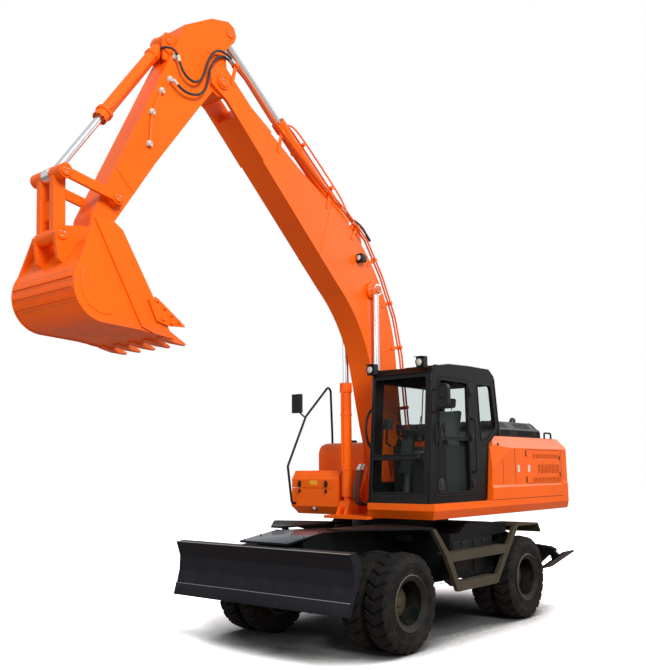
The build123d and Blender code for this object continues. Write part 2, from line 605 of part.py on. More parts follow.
def cab_shell():
    shell = cab_slab(0, CAB_IN, CAB_OUT) - cab_slab(WALL, CAB_IN + WALL, CAB_OUT - WALL)
    shell -= slab_of(grown(DOOR, 6), CAB_OUT - 60, CAB_OUT + 10) & box(DOOR[2][0] - RUN, 1200, 1000, 1300, 1500, 3200)
    shell -= pane(QUARTER, CAB_OUT - 60, CAB_OUT + 10)
    shell -= pane(OFFSIDE, CAB_IN - 10, CAB_IN + 60)
    for z0, z1 in FRONT_CUTS:
        shell -= screen(z0, z1, *FRONT_Y, 800, 1200)
    return shell - screen(*REAR_CUT, *REAR_Y, -800, -450)


def cab_glass():
    layer = cab_slab(16, CAB_IN + 60, CAB_OUT - 60) - cab_slab(22, CAB_IN + 50, CAB_OUT - 50)
    panes = layer & screen(*REAR_CUT, *REAR_Y, -800, -450)
    for z0, z1 in FRONT_CUTS:
        panes += layer & screen(z0, z1, FRONT_Y[0] + 20, FRONT_Y[1], 800, 1200)
    panes += pane(QUARTER, CAB_OUT - 24, CAB_OUT - 18)
    return panes + pane(OFFSIDE, CAB_IN + 17, CAB_IN + 23)


def cab_door():
    door = side(DOOR, CAB_OUT - WALL, CAB_OUT)
    for outline in PANES:
        door -= pane(outline, CAB_OUT - 60, CAB_OUT + 10)
    return door


def door_glass():
    return pane(PANES[0], CAB_OUT - 24, CAB_OUT - 18) + pane(PANES[1], CAB_OUT - 24, CAB_OUT - 18)


def seat():
    cushion = box(40, 560, 470, 970, 2020, 2160)
    back = side([(60, 2160 + RUN), (-60, 2860), (-180, 2860), (-80, 2160 + RUN)], 490, 950)
    return cushion + back


def cab_console():
    floor = CAB_FLOOR + WALL
    base = box(60, 520, 560, 880, floor, 2020)
    sides = box(80, 620, 350, 455, floor, 2230) + box(80, 560, 985, 1090, floor, 2230)
    column = rod((905, 720, floor - 20), (757, 720, 2345), 45) - box(800, 1000, 600, 800, 1500, floor)
    wheel = Pos(755, 720, 2350) * Rot(0, -22, 0) * Torus(170, 14)
    spokes = Pos(755, 720, 2350) * Rot(0, -22, 0) * (Box(330, 30, 14) + Box(30, 330, 14))
    return base + sides + column + wheel + spokes


RAIL_Y = -1165
CAB_LAMPS = ((255, 3100), (985, 3135))        # near edge y, underside z


def fittings():
    y = RAIL_Y
    path = FilletPolyline((FRONT_R + RUN, y, 1500), (850, y, 1500), (930, y, 1990), (560, y, 2670), (60, y, 3125),
                          (10, y, 3060), (-20, y, 2400), (-20, y, 2310 + RUN), radius=45)
    rail = sweep(Plane(origin=path @ 0, z_dir=path % 0) * Circle(16), path=path)
    mirror_r = Pos(660, y - 70, 2850) * Box(60, 150, 260) + rod((568, y, 2655), (650, y - 60, 2745), 11)
    lamps = []
    for y0, z0 in CAB_LAMPS:
        lamps.append(box(932, 1012, y0, y0 + 110, z0, z0 + 130))
        lamps.append(pin((0, 0), 44, 0, 12).rotate(Axis.Z, 90).moved(Pos(1012, y0 + 55, z0 + 65)))
        lamps.append(box(800, 936, y0 + 40, y0 + 70, CAB_ROOF + RUN, CAB_ROOF + 12))
    mirror_l = Pos(930, 1300, 2785) * fillet(Box(50, 160, 290).edges().filter_by(Axis.X), 60)
    mirror_l += rod((905, CAB_OUT - 6, 2870), (930, 1290, 2870), 10)
    mirror_l += rod((915, CAB_OUT - 6, 2590), (930, 1290, 2670), 10)
    mirror_l -= box(800, 1100, 1000, CAB_OUT + RUN, 2500, 2950)
    return rail + mirror_r + lamps + mirror_l


# ---------------------------------------------------------------- boom
def boom():
    outline = Polyline((FOOT[0] + 150, FOOT[1] - 60), (570, 2500), (780, 3300))
    edge = [
        Line((360, 1830), (565, 2480)),
        Line((565, 2480), (775, 3290)),
        ThreePointArc((775, 3290), (1010, 3780), (1400, 4200)),
        Line((1400, 4200), (3180, 5820)),
        Line((3180, 5820), (3010, 6040)),
        Line((3010, 6040), (2130, 5520)),
        Line((2130, 5520), (1290, 5100)),
        ThreePointArc((1290, 5100), (590, 4460), (215, 3560)),
        Line((215, 3560), (60, 2300)),
        Line((60, 2300), (40, 1850)),
        Line((40, 1850), (360, 1830)),
    ]
    face = make_face(Wire(edge))
    body = slab_of(face, -BOOM_W, BOOM_W)
    body += pin(FOOT, 160, -BOOM_W, BOOM_W) + pin(FOOT, 140, -230 + RUN, 230 - RUN)
    fork = side([(2760, 5440), (3330, 5960), (3560, 6080), (3580, 6220), (3480, 6330), (3350, 6330), (2960, 6010),
                 (2640, 5830)], FORK_IN, FORK_OUT)
    body -= pin(TIP, 330, -FORK_IN, FORK_IN)
    body += both(fork) + both(pin(TIP, 85, FORK_OUT, FORK_OUT + 20))
    body += both(pin(BOOM_CYL[1], 105, BOOM_W, CYL_Y - 45 - RUN))
    base = ARM_CYL[0]
    ear = side([(base[0] - 170, 4600), (base[0] - 95, base[1] + 10), (base[0] - 60, base[1] + 75),
                (base[0], base[1] + 95), (base[0] + 60, base[1] + 75), (base[0] + 90, base[1] + 10),
                (base[0] + 150, 4850), (base[0] + 150, 4600)], 62, 97)
    return body + both(ear)


PIPE_R = 12
PIPE_Y = (160, 200)     # two steel pipes beside the boom's top edge
PIPE_RUN = [(3240, 6430), (3050, 6330), (2620, 5975), (1700, 5410), (1250, 5190), (830, 4900), (500, 4460),
            (230, 3950), (90, 3450), (-40, 2450)]
# brackets: where on the pipes, where on the boom's or fork's side, inner face of the bracket
PIPE_STAYS = (((3215, 6417), (3270, 6190), FORK_OUT), ((2450, 5871), (2490, 5640), BOOM_W),
              ((1560, 5338), (1600, 5170), BOOM_W), ((1020, 5031), (1110, 4870), BOOM_W),
              ((660, 4673), (780, 4580), BOOM_W), ((330, 4139), (470, 4075), BOOM_W),
              ((120, 3560), (280, 3535), BOOM_W), ((0, 2757), (175, 2735), BOOM_W))
HOSE_R = 14
# two hoses over the arm joint, from the pipes' ends to the arm's blocks: x, y, z
HOSE_UPPER = [(3240.3, 200, 6430.1), (3330, 200, 6477.4), (3440, 200, 6500), (3550, 200, 6450), (3625, 200, 6330),
              (3665, 200, 6185), (3720, 200, 6050), (3820, 200, 5980), (3930, 200, 6005), (4010, 200, 6085),
              (4050, 200, 6195)]
HOSE_LOWER = [(3240.3, 160, 6430.1), (3330, 160, 6477.4), (3430, 172, 6450), (3530, 192, 6360), (3605, 200, 6235),
              (3625, 200, 6085), (3670, 200, 5950), (3765, 200, 5860), (3890, 200, 5830), (4010, 200, 5850),
              (4100, 200, 5905)]
ARM_PIPE = [(4110, 5925), (4225, 5745), (4330, 5490), (4352, 5120)]
ARM_CLAMPS = ((4050, 6195), (4112, 5922), (4215, 5761), (4329, 5493), (4351, 5150))


def pipe(route, y, bend):
    """A steel pipe in one side-view plane with rounded bends."""
    path = FilletPolyline(*[(x, y, z) for x, z in route], radius=bend)
    return sweep(Plane(origin=path @ 0, z_dir=path % 0) * Circle(PIPE_R), path=path)


def boom_pipes():
    body = pipe(PIPE_RUN, PIPE_Y[0], 160) + pipe(PIPE_RUN, PIPE_Y[1], 160)
    for on_pipe, on_boom, face in PIPE_STAYS:
        body += bar(on_pipe, on_boom, 44, face + RUN, face + 10)
        body += pin(on_pipe, 24, PIPE_Y[0] - 16, PIPE_Y[1] + 16)
    return body


def hose(route):
    """A hose on straight runs joined by arcs as large as the runs allow."""
    points = [Vector(*p) for p in route]
    radii = []
    for before, corner, after in zip(points, points[1:], points[2:]):
        turn = radians((corner - before).get_angle(after - corner))
        shorter = min((corner - before).length, (after - corner).length)
        radii.append(0.45 * shorter / tan(turn / 2))
    path = FilletPolyline(*points, radius=radii)
    return sweep(Plane(origin=path @ 0, z_dir=path % 0) * Circle(HOSE_R), path=path)


def arm_hose_upper():
    return hose(HOSE_UPPER)


def arm_hose_lower():
    return hose(HOSE_LOWER)


def arm_pipes():
    body = pipe(ARM_PIPE, ARM_W + 20, 110)
    for x, z in ARM_CLAMPS:
        body += box(x - 24, x + 24, ARM_W + RUN, ARM_W + 36, z - 24, z + 24)
    return body


def boom_barrels():
    return both(barrel(*BOOM_CYL, 70, 1560, 45, 40, CYL_Y))


def boom_rods():
    return both(piston(*BOOM_CYL, 40, 1000, 45, CYL_Y))


# ---------------------------------------------------------------- arm
def arm():
    plate = side([(4760, 4200), (4253, 4980), (3663, 5810), (3300, 6300), (3330, 6570), (3190, 6720), (3165, 6800),
                  (3200, 6890), (3290, 6930), (3540, 6860), (3920, 6620), (4120, 6140), (4973, 4275),
                  (4990, 4130)], -ARM_W, ARM_W)
    body = plate + pin(TIP, 165, -FORK_IN + RUN, FORK_IN - RUN)
    body += pin(BUCKET_PIN, 110, -FORK_IN + RUN, FORK_IN - RUN)
    tip = ARM_CYL[1]
    body -= pin(tip, 285, -60, 60)
    base = BUCKET_CYL[0]
    ear = side([(base[0] - 150, 6440), (base[0] - 40, base[1] + 85), (base[0] + 40, base[1] + 75),
                (base[0] + 80, base[1]), (base[0] + 60, 6150), (base[0] - 60, 6150)], 72, 104)
    body -= pin(base, 110, -72, 72)
    body += both(ear)
    return body + both(pin(ROCKER_PIN, 80, ARM_W, ROCKER_Y - RUN))


def arm_barrel():
    return barrel(*ARM_CYL, 75, 1720, 62 - RUN, 45)


def arm_rod():
    return piston(*ARM_CYL, 45, 1100, 60 - RUN)


# ---------------------------------------------------------------- bucket and its links
SHELL_BEND = (5032, 3543)       # centre of the bucket's round back


def bucket_skin(out, upper, lower):
    """The bucket's back and floor line, moved out from its bend by out: top, bend, floor to the lip."""
    radius = 320 + out
    ends = []
    for dx, dz in ((268, 175), (287, -143), (28, -319)):
        scale = radius / hypot(dx, dz)
        ends.append((SHELL_BEND[0] + dx * scale, SHELL_BEND[1] + dz * scale))
    return [Line(upper, ends[0]), ThreePointArc(*ends), Line(ends[2], (4650, 3205 - out)),
            Line((4650, 3205 - out), lower)]


def bucket():
    half = 500
    outside, inside = bucket_skin(0, (5125, 3985), (4280, 3165)), bucket_skin(-28, (5098, 3968), (4280, 3190))
    shell = slab_of(make_face(Wire(outside + inside + [Line((5125, 3985), (5098, 3968)),
                                                       Line((4280, 3165), (4280, 3190))])), -half, half)
    cheek_edge = bucket_skin(8, (5180, 4120), (4280, 3157))
    rim = [(4280, 3157), (4530, 3520), (4890, 4070), (5000, 4140), (5180, 4120)]
    cheek_edge += [Line(one, two) for one, two in zip(rim, rim[1:])]
    cheek = slab_of(make_face(Wire(cheek_edge)), half - 25, half)
    bars = side([(5180, 4120), (5000, 4140), (4890, 4075), (4530, 3520), (4280, 3157), (4500, 3180),
                 (4650, 3230)], half, half + 14)
    cutter = side([(4600, 3480), (4520, 3520), (4420, 3460), (4240, 3340), (4160, 3283), (4366, 3268), (4500, 3300)],
                  half + 14, half + 36)
    shell += both(cheek + bars + cutter)
    for z0, z1 in ((3400, 3430), (3490, 3520), (3580, 3610)):
        strip = slab_of(make_face(Wire([Line((5150, z0), (5500, z0)), Line((5500, z0), (5500, z1)),
                                        Line((5500, z1), (5150, z1)), Line((5150, z1), (5150, z0))])), -half, half)
        wear_skin = Cylinder(332, 2 * half - 60) - Cylinder(306, 2 * half - 60)
        shell += strip & (Pos(SHELL_BEND[0], 0, SHELL_BEND[1]) * Rot(90, 0, 0) * wear_skin)
    taper = [(4400, -46), (4400, 46), (4270, 46), (4105, 22), (4105, -22), (4270, -46)]
    for i in range(5):
        tooth = side([(4400, 3160), (4385, 3212), (4290, 3214), (4105, 3136), (4105, 3118), (4250, 3128)], -60, 60)
        shell += Pos(0, -454 + i * 227, 0) * (tooth & plan(taper, 3000, 3400))
    (bx, bz), (hx, hz) = BUCKET_PIN, H_PIN
    ears = side([(bx - 110, bz + 20), (bx - 40, bz + 110), (bx + 60, bz + 105), (hx, hz + 75), (hx + 75, hz),
                 (hx + 30, hz - 230), (5270, 3755), (5112, 3960), (5010, 3990), (bx - 40, bz - 105)],
                FORK_IN, FORK_OUT)
    return shell + both(ears)


def rocker():
    link = bar(ROCKER_PIN, LINK_PIN, 92, ROCKER_Y, ROCKER_Y + 34)
    return both(link + pin(ROCKER_PIN, 68, ROCKER_Y, ROCKER_Y + 34) + pin(LINK_PIN, 68, ROCKER_Y, ROCKER_Y + 44))


def h_link():
    legs = both(bar(LINK_PIN, H_PIN, 120, 70, 138))
    top = both(pin(LINK_PIN, 68, 56, ROCKER_Y - RUN))
    foot = pin(H_PIN, 68, -FORK_IN + RUN, FORK_IN - RUN)
    web = bar(along(LINK_PIN, H_PIN, 250), along(LINK_PIN, H_PIN, 400), 40, -75, 75)
    return legs + top + foot + web


def bucket_barrel():
    return barrel(*BUCKET_CYL, 65, 1280, 72 - RUN, 38)


def bucket_rod():
    return piston(*BUCKET_CYL, 38, 800, 56 - RUN)


# ---------------------------------------------------------------- saving
def put(name, shape, y=0):
    export_step(Pos(-X_MID, y, 0) * shape, f"parts/{name}.step")


# which parts are drawn about the slew axis, which about the boom's middle, and which come in pairs
FRAME_PARTS = (chassis_frame, chassis_sides, side_steps, front_axle, rear_axle, blade, blade_arms, blade_links,
               blade_barrels, blade_rods, platform, counterweight, engine_housing, hood, engine_block, fuel_tank,
               toolbox, toolbox_lid, cab_shell, cab_glass, cab_door, door_glass, seat, cab_console, fittings)
BOOM_PARTS = (boom, boom_pipes, arm_pipes, arm_hose_upper, arm_hose_lower, boom_barrels, boom_rods, arm,
              arm_barrel, arm_rod, bucket, rocker, h_link, bucket_barrel, bucket_rod)
PAIRED_PARTS = (("knuckle", knuckle), ("outrigger_leg", leg), ("outrigger_pad", pad),
                ("outrigger_barrel", leg_barrel), ("outrigger_rod", leg_rod), ("side_door", side_door))


def save_pair(name, shape):
    put(f"{name}_left", shape)
    put(f"{name}_right", mirrored(shape))


def save_all():
    os.makedirs("parts", exist_ok=True)
    for make in FRAME_PARTS:
        put(make.__name__, make())
    for make in BOOM_PARTS:
        put(make.__name__, make(), BOOM_Y)
    for name, make in PAIRED_PARTS:
        save_pair(name, make())
    for place, x in (("front", AXLE_F), ("rear", AXLE_R)):
        save_pair(f"tyres_{place}", tyres(x))
        save_pair(f"rims_{place}", rims(x))


save_all()
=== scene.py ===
# %% [markdown]
# A wheeled excavator, dressed for its picture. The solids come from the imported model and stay
# where they are: this script adds the finishes and the smaller pieces that ride on them.

# %% Load the frame
import math

import bmesh
import bpy
from mathutils import Matrix, Vector


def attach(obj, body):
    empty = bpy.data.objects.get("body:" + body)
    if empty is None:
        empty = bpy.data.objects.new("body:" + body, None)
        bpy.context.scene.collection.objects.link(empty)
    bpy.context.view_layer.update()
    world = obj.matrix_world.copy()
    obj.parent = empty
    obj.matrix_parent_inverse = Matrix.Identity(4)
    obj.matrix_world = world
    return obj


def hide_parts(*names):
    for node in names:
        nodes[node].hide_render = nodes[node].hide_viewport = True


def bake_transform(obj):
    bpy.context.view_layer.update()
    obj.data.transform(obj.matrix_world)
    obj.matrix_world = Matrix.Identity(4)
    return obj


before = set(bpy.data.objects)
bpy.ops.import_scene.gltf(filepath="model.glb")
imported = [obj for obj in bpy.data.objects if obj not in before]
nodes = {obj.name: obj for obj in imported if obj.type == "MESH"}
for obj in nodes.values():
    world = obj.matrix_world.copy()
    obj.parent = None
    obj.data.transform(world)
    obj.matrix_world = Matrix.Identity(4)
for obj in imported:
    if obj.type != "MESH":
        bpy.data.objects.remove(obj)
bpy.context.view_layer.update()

# %% [markdown]
# The camera stands low at the front left of the machine and looks slightly up at it. A camera in
# Blender looks along its own -Z with +Y up, so its three axes are worked out from a heading, a
# pitch and a small roll and written into its matrix.

# %% Camera
scene = bpy.context.scene


def placed(name, data):
    """A new object in the scene."""
    obj = bpy.data.objects.new(name, data)
    scene.collection.objects.link(obj)
    return obj


SLEW_X = -1.300          # slew axis in the frame, metres
eye = Vector((9.176 + SLEW_X, 6.386, 1.955))
heading, pitch, roll = math.radians(219.99), math.radians(9.25), math.radians(-0.41)
ahead = Vector((math.cos(heading) * math.cos(pitch), math.sin(heading) * math.cos(pitch), math.sin(pitch)))
right = Vector((math.sin(heading), -math.cos(heading), 0.0))
up = right.cross(ahead)
level_right = right * math.cos(roll) + up * math.sin(roll)
level_up = up * math.cos(roll) - right * math.sin(roll)
lens = bpy.data.cameras.new("camera")
lens.lens = 44.09
lens.sensor_width = 36
lens.clip_end = 400
camera = placed("camera", lens)
camera.matrix_world = Matrix.Translation(eye) @ Matrix((level_right, level_up, -ahead)).transposed().to_4x4()
scene.camera = camera
print("camera at", [round(v, 2) for v in eye])

# %% [markdown]
# The parts are drawn in millimetres about the slew axis, as on a drawing, and at() turns such a
# place into frame metres. Whatever belongs to the boom, arm and bucket is drawn about the boom's
# own middle plane, which stands 50 mm to the right of the machine's. Flat outlines are drawn as
# seen from the side, from the front or from above, and a rectangle is one oblong().

# %% Places
BOOM_Y = -50
SIDES = (1, -1)          # left and right of the machine


def at(x, y, z):
    """Millimetres about the slew axis, as frame metres."""
    return Vector((x / 1000 + SLEW_X, y / 1000, z / 1000))


def on_boom(x, y, z):
    """The same, for places drawn about the boom's middle plane."""
    return at(x, y + BOOM_Y, z)


def side_view(y, points, where=at):
    """Points drawn from the side as (x, z), at one y."""
    return [where(x, y, z) for x, z in points]


def front_view(x, points):
    """Points drawn from the front as (y, z), at one x."""
    return [at(x, y, z) for y, z in points]


def plan_view(z, points):
    """Points drawn from above as (x, y), at one z."""
    return [at(x, y, z) for x, y in points]


def oblong(a0, a1, b0, b1):
    """The four corners of a rectangle, for any view."""
    return (a0, b0), (a1, b0), (a1, b1), (a0, b1)


# %% [markdown]
# Hoses and pipes follow smooth lines. A NURBS spline of order 3 passes close to its control
# points without kinks, and turning it into a mesh with no bevel gives the points along it.

# %% Smooth lines


def smooth_line(places, where=at):
    curve = bpy.data.curves.new("route", "CURVE")
    curve.dimensions = "3D"
    spline = curve.splines.new("NURBS")
    spline.points.add(len(places) - 1)
    for knot, place in zip(spline.points, places):
        knot.co = (*where(*place), 1)
    spline.order_u = 3
    spline.use_endpoint_u = True
    curve.resolution_u = 8
    holder = bpy.data.objects.new("route", curve)
    mesh = bpy.data.meshes.new_from_object(holder)
    line = [v.co.copy() for v in mesh.vertices]
    bpy.data.objects.remove(holder)
    bpy.data.curves.remove(curve)
    bpy.data.meshes.remove(mesh)
    return line


def length_of(line):
    return sum((b - a).length for a, b in zip(line, line[1:]))


HOSE_UPPER = (
    (3240.3, 200, 6430.1), (3330, 200, 6477.4), (3440, 200, 6500), (3550, 200, 6450), (3625, 200, 6330),
    (3665, 200, 6185), (3720, 200, 6050), (3820, 200, 5980), (3930, 200, 6005), (4010, 200, 6085),
    (4050, 200, 6195))
HOSE_LOWER = (
    (3240.3, 160, 6430.1), (3330, 160, 6477.4), (3430, 172, 6450), (3530, 192, 6360), (3605, 200, 6235),
    (3625, 200, 6085), (3670, 200, 5950), (3765, 200, 5860), (3890, 200, 5830), (4010, 200, 5850),
    (4100, 200, 5905))
arm_hose_lines = [smooth_line(route, on_boom) for route in (HOSE_UPPER, HOSE_LOWER)]
print("arm hoses:", [round(length_of(line), 3) for line in arm_hose_lines], "m")

# %% [markdown]
# Soft studio light: a large key lamp high on the camera's right, a wide fill in front and a lamp
# behind for an edge of light. Their strength gives each colour about as it is written. The world
# is white to the camera and through glass, greyer to mirror rays and dim to all others.

# %% World and lamps
scene.view_settings.view_transform = "Standard"
SKY = 0.30               # strength of the world for rays that only carry light
MIRROR_SKY = 0.70        # the same for mirror rays


def lamp(name, place, target, size, watts, tint=(1, 1, 1)):
    data = bpy.data.lights.new(name, "AREA")
    data.shape = "RECTANGLE"
    data.size, data.size_y = size
    data.energy = watts
    data.color = tint
    obj = placed(name, data)
    obj.location = place
    obj.rotation_mode = "QUATERNION"
    obj.rotation_quaternion = (Vector(target) - Vector(place)).to_track_quat("-Z", "Y")


lamp("key", (8, 15, 13), (0, 0, 2), (8, 8), 3900, (1.0, 0.98, 0.95))
lamp("fill", (15, -3, 6), (0, 0, 2.5), (9, 7), 380)
lamp("rim", (-12, 4, 10), (-1, 0, 3), (7, 6), 600)

# %% [markdown]
# Shader maths reads best as plain expressions. Val wraps one output socket: +, - and * add a Math
# node each, and make() adds any other node with its settings first and its sockets after. Both
# work in any node tree, so the Geometry Nodes further down use them too.

# %% Node expressions


class Val:
    """One output socket that can be used in arithmetic."""

    def __init__(self, tree, socket):
        self.tree, self.socket = tree, socket

    def _math(self, operation, a, b=None):
        node = self.tree.nodes.new("ShaderNodeMath")
        node.operation = operation
        for slot, value in zip(node.inputs, (a, b)):
            if isinstance(value, Val):
                self.tree.links.new(value.socket, slot)
            elif value is not None:
                slot.default_value = value
        return Val(self.tree, node.outputs[0])

    def __add__(self, other):
        return self._math("ADD", self, other)

    def __radd__(self, other):
        return self._math("ADD", other, self)

    def __sub__(self, other):
        return self._math("SUBTRACT", self, other)

    def __rsub__(self, other):
        return self._math("SUBTRACT", other, self)

    def __mul__(self, other):
        return self._math("MULTIPLY", self, other)

    def __rmul__(self, other):
        return self._math("MULTIPLY", other, self)

    def power(self, other):
        return self._math("POWER", self, other)

    def least(self, other):
        return self._math("MINIMUM", self, other)

    def most(self, other):
        return self._math("MAXIMUM", self, other)

    def size(self):
        return self._math("ABSOLUTE", self)

    def wave(self):
        return self._math("SINE", self)

    def smooth(self, low, high):
        return make(self.tree, "ShaderNodeMapRange", {"interpolation_type": "SMOOTHSTEP"},
                    {"Value": self, "From Min": low, "From Max": high})


def make(tree, kind, settings=None, sockets=None, output=0):
    node = tree.nodes.new(kind)
    for key, value in (settings or {}).items():
        setattr(node, key, value)
    for key, value in (sockets or {}).items():
        slot = node.inputs[key]
        if isinstance(value, Val):
            tree.links.new(value.socket, slot)
        else:
            slot.default_value = value
    return Val(tree, node.outputs[output])


def blend(tree, amount, one, two):
    """Mix two colours by a value or a number."""
    return make(tree, "ShaderNodeMix", {"data_type": "RGBA"}, {0: amount, 6: one, 7: two}, 2)


def rgb(r, g, b):
    """A display colour (0 to 255) as the linear colour a shader takes."""
    return tuple(((v / 255 + 0.055) / 1.055) ** 2.4 if v > 10 else v / 255 / 12.92 for v in (r, g, b)) + (1,)


def place_in(tree):
    """The Object coordinates of the point being shaded, in frame metres."""
    return make(tree, "ShaderNodeTexCoord", output=3)


def axes(tree):
    split = make(tree, "ShaderNodeSeparateXYZ", None, {0: place_in(tree)})
    return [Val(tree, socket) for socket in split.socket.node.outputs]


def noise(tree, scale, detail=3.0, rough=0.5, stretch=None):
    place = place_in(tree)
    if stretch:
        place = make(tree, "ShaderNodeMapping", None, {"Vector": place, "Scale": stretch})
    return make(tree, "ShaderNodeTexNoise", None,
                {"Vector": place, "Scale": scale, "Detail": detail, "Roughness": rough})


def bumped(tree, strength, depth, height, edge=None):
    """A bump from a height. An edge radius also rounds the shading of sharp corners."""
    sockets = {"Strength": strength, "Distance": depth, "Height": height}
    if edge:
        sockets["Normal"] = make(tree, "ShaderNodeBevel", {"samples": 4}, {"Radius": edge})
    return make(tree, "ShaderNodeBump", None, sockets)


def ray(tree, *names):
    """1 for rays of the named sorts, 0 for all others."""
    path = make(tree, "ShaderNodeLightPath").socket.node.outputs
    found = Val(tree, path[f"Is {names[0]} Ray"])
    for name in names[1:]:
        found = found.most(Val(tree, path[f"Is {name} Ray"]))
    return found


def emptied(owner):
    """The node tree of a material or world, cleared."""
    owner.use_nodes = True
    owner.node_tree.nodes.clear()
    return owner.node_tree


def mixed(tree, amount, one, two):
    """Mix two shaders by a value."""
    return make(tree, "ShaderNodeMixShader", None, {0: amount, 1: one, 2: two})


def give(tree, surface, kind="Material"):
    """Wire a shader to the tree's output."""
    tree.links.new(surface.socket, tree.nodes.new("ShaderNodeOutput" + kind).inputs[0])


def new_material(name):
    mat = bpy.data.materials.new(name)
    return mat, emptied(mat)


def coated(mat, colour, rough, normal=None, **more):
    """Finish a material with one Principled shader."""
    sockets = {"Base Color": colour, "Roughness": rough}
    if normal:
        sockets["Normal"] = normal
    for key, value in more.items():
        sockets[key.replace("_", " ")] = value
    give(mat.node_tree, make(mat.node_tree, "ShaderNodeBsdfPrincipled", None, sockets))
    return mat


# %% [markdown]
# The backdrop is plain white without any more light on the machine: rays that are seen meet a
# world of strength 1. The floor is an ordinary matt surface for the light that it sends back up,
# and for rays that are seen it is a whiter one, which renders pure white in the open and keeps
# the soft shadow under the machine. There it also has painted shade: ambient occlusion turns its
# colour towards grey close under and around the machine. No horizon shows.

# %% Backdrop and floor


def background(tree, colour, strength):
    return make(tree, "ShaderNodeBackground", None, {"Color": (*colour, 1), "Strength": strength})


def matt(tree, colour):
    return make(tree, "ShaderNodeBsdfDiffuse", None, {"Color": colour})


SEEN = ("Camera", "Transmission")
world = bpy.data.worlds.new("studio")
scene.world = world
tree = emptied(world)
unseen = mixed(tree, ray(tree, "Glossy"), background(tree, (0.94, 0.97, 1.0), SKY),
               background(tree, (0.97, 0.98, 1.0), MIRROR_SKY))
give(tree, mixed(tree, ray(tree, *SEEN), unseen, background(tree, (1, 1, 1), 1.0)), "World")

FLOOR_HALF = 90          # half the floor's width, metres
FLOOR_WHITE = 3.5        # whiteness for seen rays: times the sky's 0.30 it is just over 1
floor_mesh = bpy.data.meshes.new("floor")
corners = [(x * FLOOR_HALF, y * FLOOR_HALF, 0) for x, y in oblong(-1, 1, -1, 1)]
floor_mesh.from_pydata(corners, [], [(0, 1, 2, 3)])
floor = placed("floor", floor_mesh)
mat, tree = new_material("floor_white")
# Painted shade: ambient occlusion darkens the seen floor's colour under and around the machine.
under = make(tree, "ShaderNodeAmbientOcclusion", {"samples": 8}, {"Distance": 2.6}, 1)
open_floor = (FLOOR_WHITE, FLOOR_WHITE, FLOOR_WHITE, 1)
shade = blend(tree, under.smooth(0.36, 0.99), (0.12, 0.12, 0.12, 1), open_floor)
give(tree, mixed(tree, ray(tree, *SEEN), matt(tree, (0.50, 0.40, 0.36, 1)), matt(tree, shade)))
floor_mesh.materials.append(mat)
print("floor whiteness", FLOOR_WHITE, "sky", SKY)

# %% [markdown]
# Paint on a new machine is nearly even: what makes it read as paint is a slow drift in colour, a
# trace of dust low down, the fine ripple of the spray and, on every edge, a thin line where the
# corner is not quite sharp and the light catches it. The Bevel node rounds the shading there, on
# the solids too, whose corners are mathematically sharp.

# %% Painted steel
EDGE = 0.004             # radius that edges of paint and plastic seem to have, metres


def scaled(colour, factor):
    return tuple(c * factor for c in colour[:3]) + (1,)


def paint(name, colour, rough, dust=0.0, coat=0.0, wear_and_shade_mask=None, worn=rgb(112, 92, 78), shine=0.2):
    mat, tree = new_material(name)
    base = blend(tree, noise(tree, 0.9, 2).smooth(0.3, 0.7), scaled(colour, 0.95), scaled(colour, 1.05))
    if dust:
        low = 1.0 - axes(tree)[2].smooth(0.0, 1.6)
        grime = noise(tree, 5, 5, 0.65).smooth(0.42, 0.85) * (low * dust + 0.3 * dust)
        base = blend(tree, grime, base, rgb(140, 128, 108))
    # A mask blends in a second colour: real rubbed paint on the bucket, painted shade in the side doors'
    # louvre slots.
    if wear_and_shade_mask:
        base = blend(tree, wear_and_shade_mask(tree), base, worn)
    spray = bumped(tree, 0.2, 0.001, noise(tree, 90, 2), EDGE)
    return coated(mat, base, rough + noise(tree, 14, 4) * 0.12 - 0.06, spray, Coat_Weight=coat,
                  Coat_Roughness=0.12, Specular_IOR_Level=shine)


def bucket_wear(tree):
    """Paint rubbed brown at the lip, the side cutters and the wear strips."""
    x, _, z = axes(tree)
    scratch = noise(tree, 9, 6, 0.7, (1, 1, 3)).smooth(0.35, 0.6)
    lip = 1.0 - z.smooth(3.14, 3.30)
    strip = (z * 69.8 - 1.35).wave().smooth(0.85, 1.0) * x.smooth(3.98, 4.0)
    return lip.most(strip) * 0.40 * scratch


def louvre_slot_shade(tree):
    """Painted shade: a side door's colour is darkened behind its outer face, in the slots of its louvres and
    inside.
    """
    return 1.0 - axes(tree)[1].size().smooth(1.2125, 1.2140)


ORANGE = rgb(247, 101, 8)
orange = paint("orange_paint", ORANGE, 0.38, coat=0.06)
# The side doors' paint is darkened behind its outer face: painted shade in the louvre slots.
door_orange_slot_shade = paint("side_door_slot_shade_paint", ORANGE, 0.38, coat=0.06, wear_and_shade_mask=louvre_slot_shade, worn=rgb(70, 20, 8))
bucket_orange = paint("bucket_paint", ORANGE, 0.42, coat=0.04, wear_and_shade_mask=bucket_wear)
black_frame = paint("black_frame_paint", rgb(13, 15, 17), 0.45, dust=0.03, shine=0.14)
blade_black = paint("blade_paint", rgb(23, 24, 31), 0.45, dust=0.03, shine=0.12)
cover_grey = paint("cover_grey_paint", rgb(58, 66, 78), 0.32, coat=0.3)
cab_black = paint("cab_black_paint", rgb(17, 16, 16), 0.30, coat=0.08, shine=0.14)
khaki = paint("step_khaki_paint", rgb(62, 57, 44), 0.5, dust=0.12, shine=0.25)
print("paints:", [m.name for m in bpy.data.materials if m.name.endswith("paint")])

# %% [markdown]
# Bare metal, plastic and cast iron each get their own grain. Rods are hard chrome, polished along
# their length. Blocks and fittings on the arm are a soft pale grey, like zinc plate.

# %% Metals and plastics


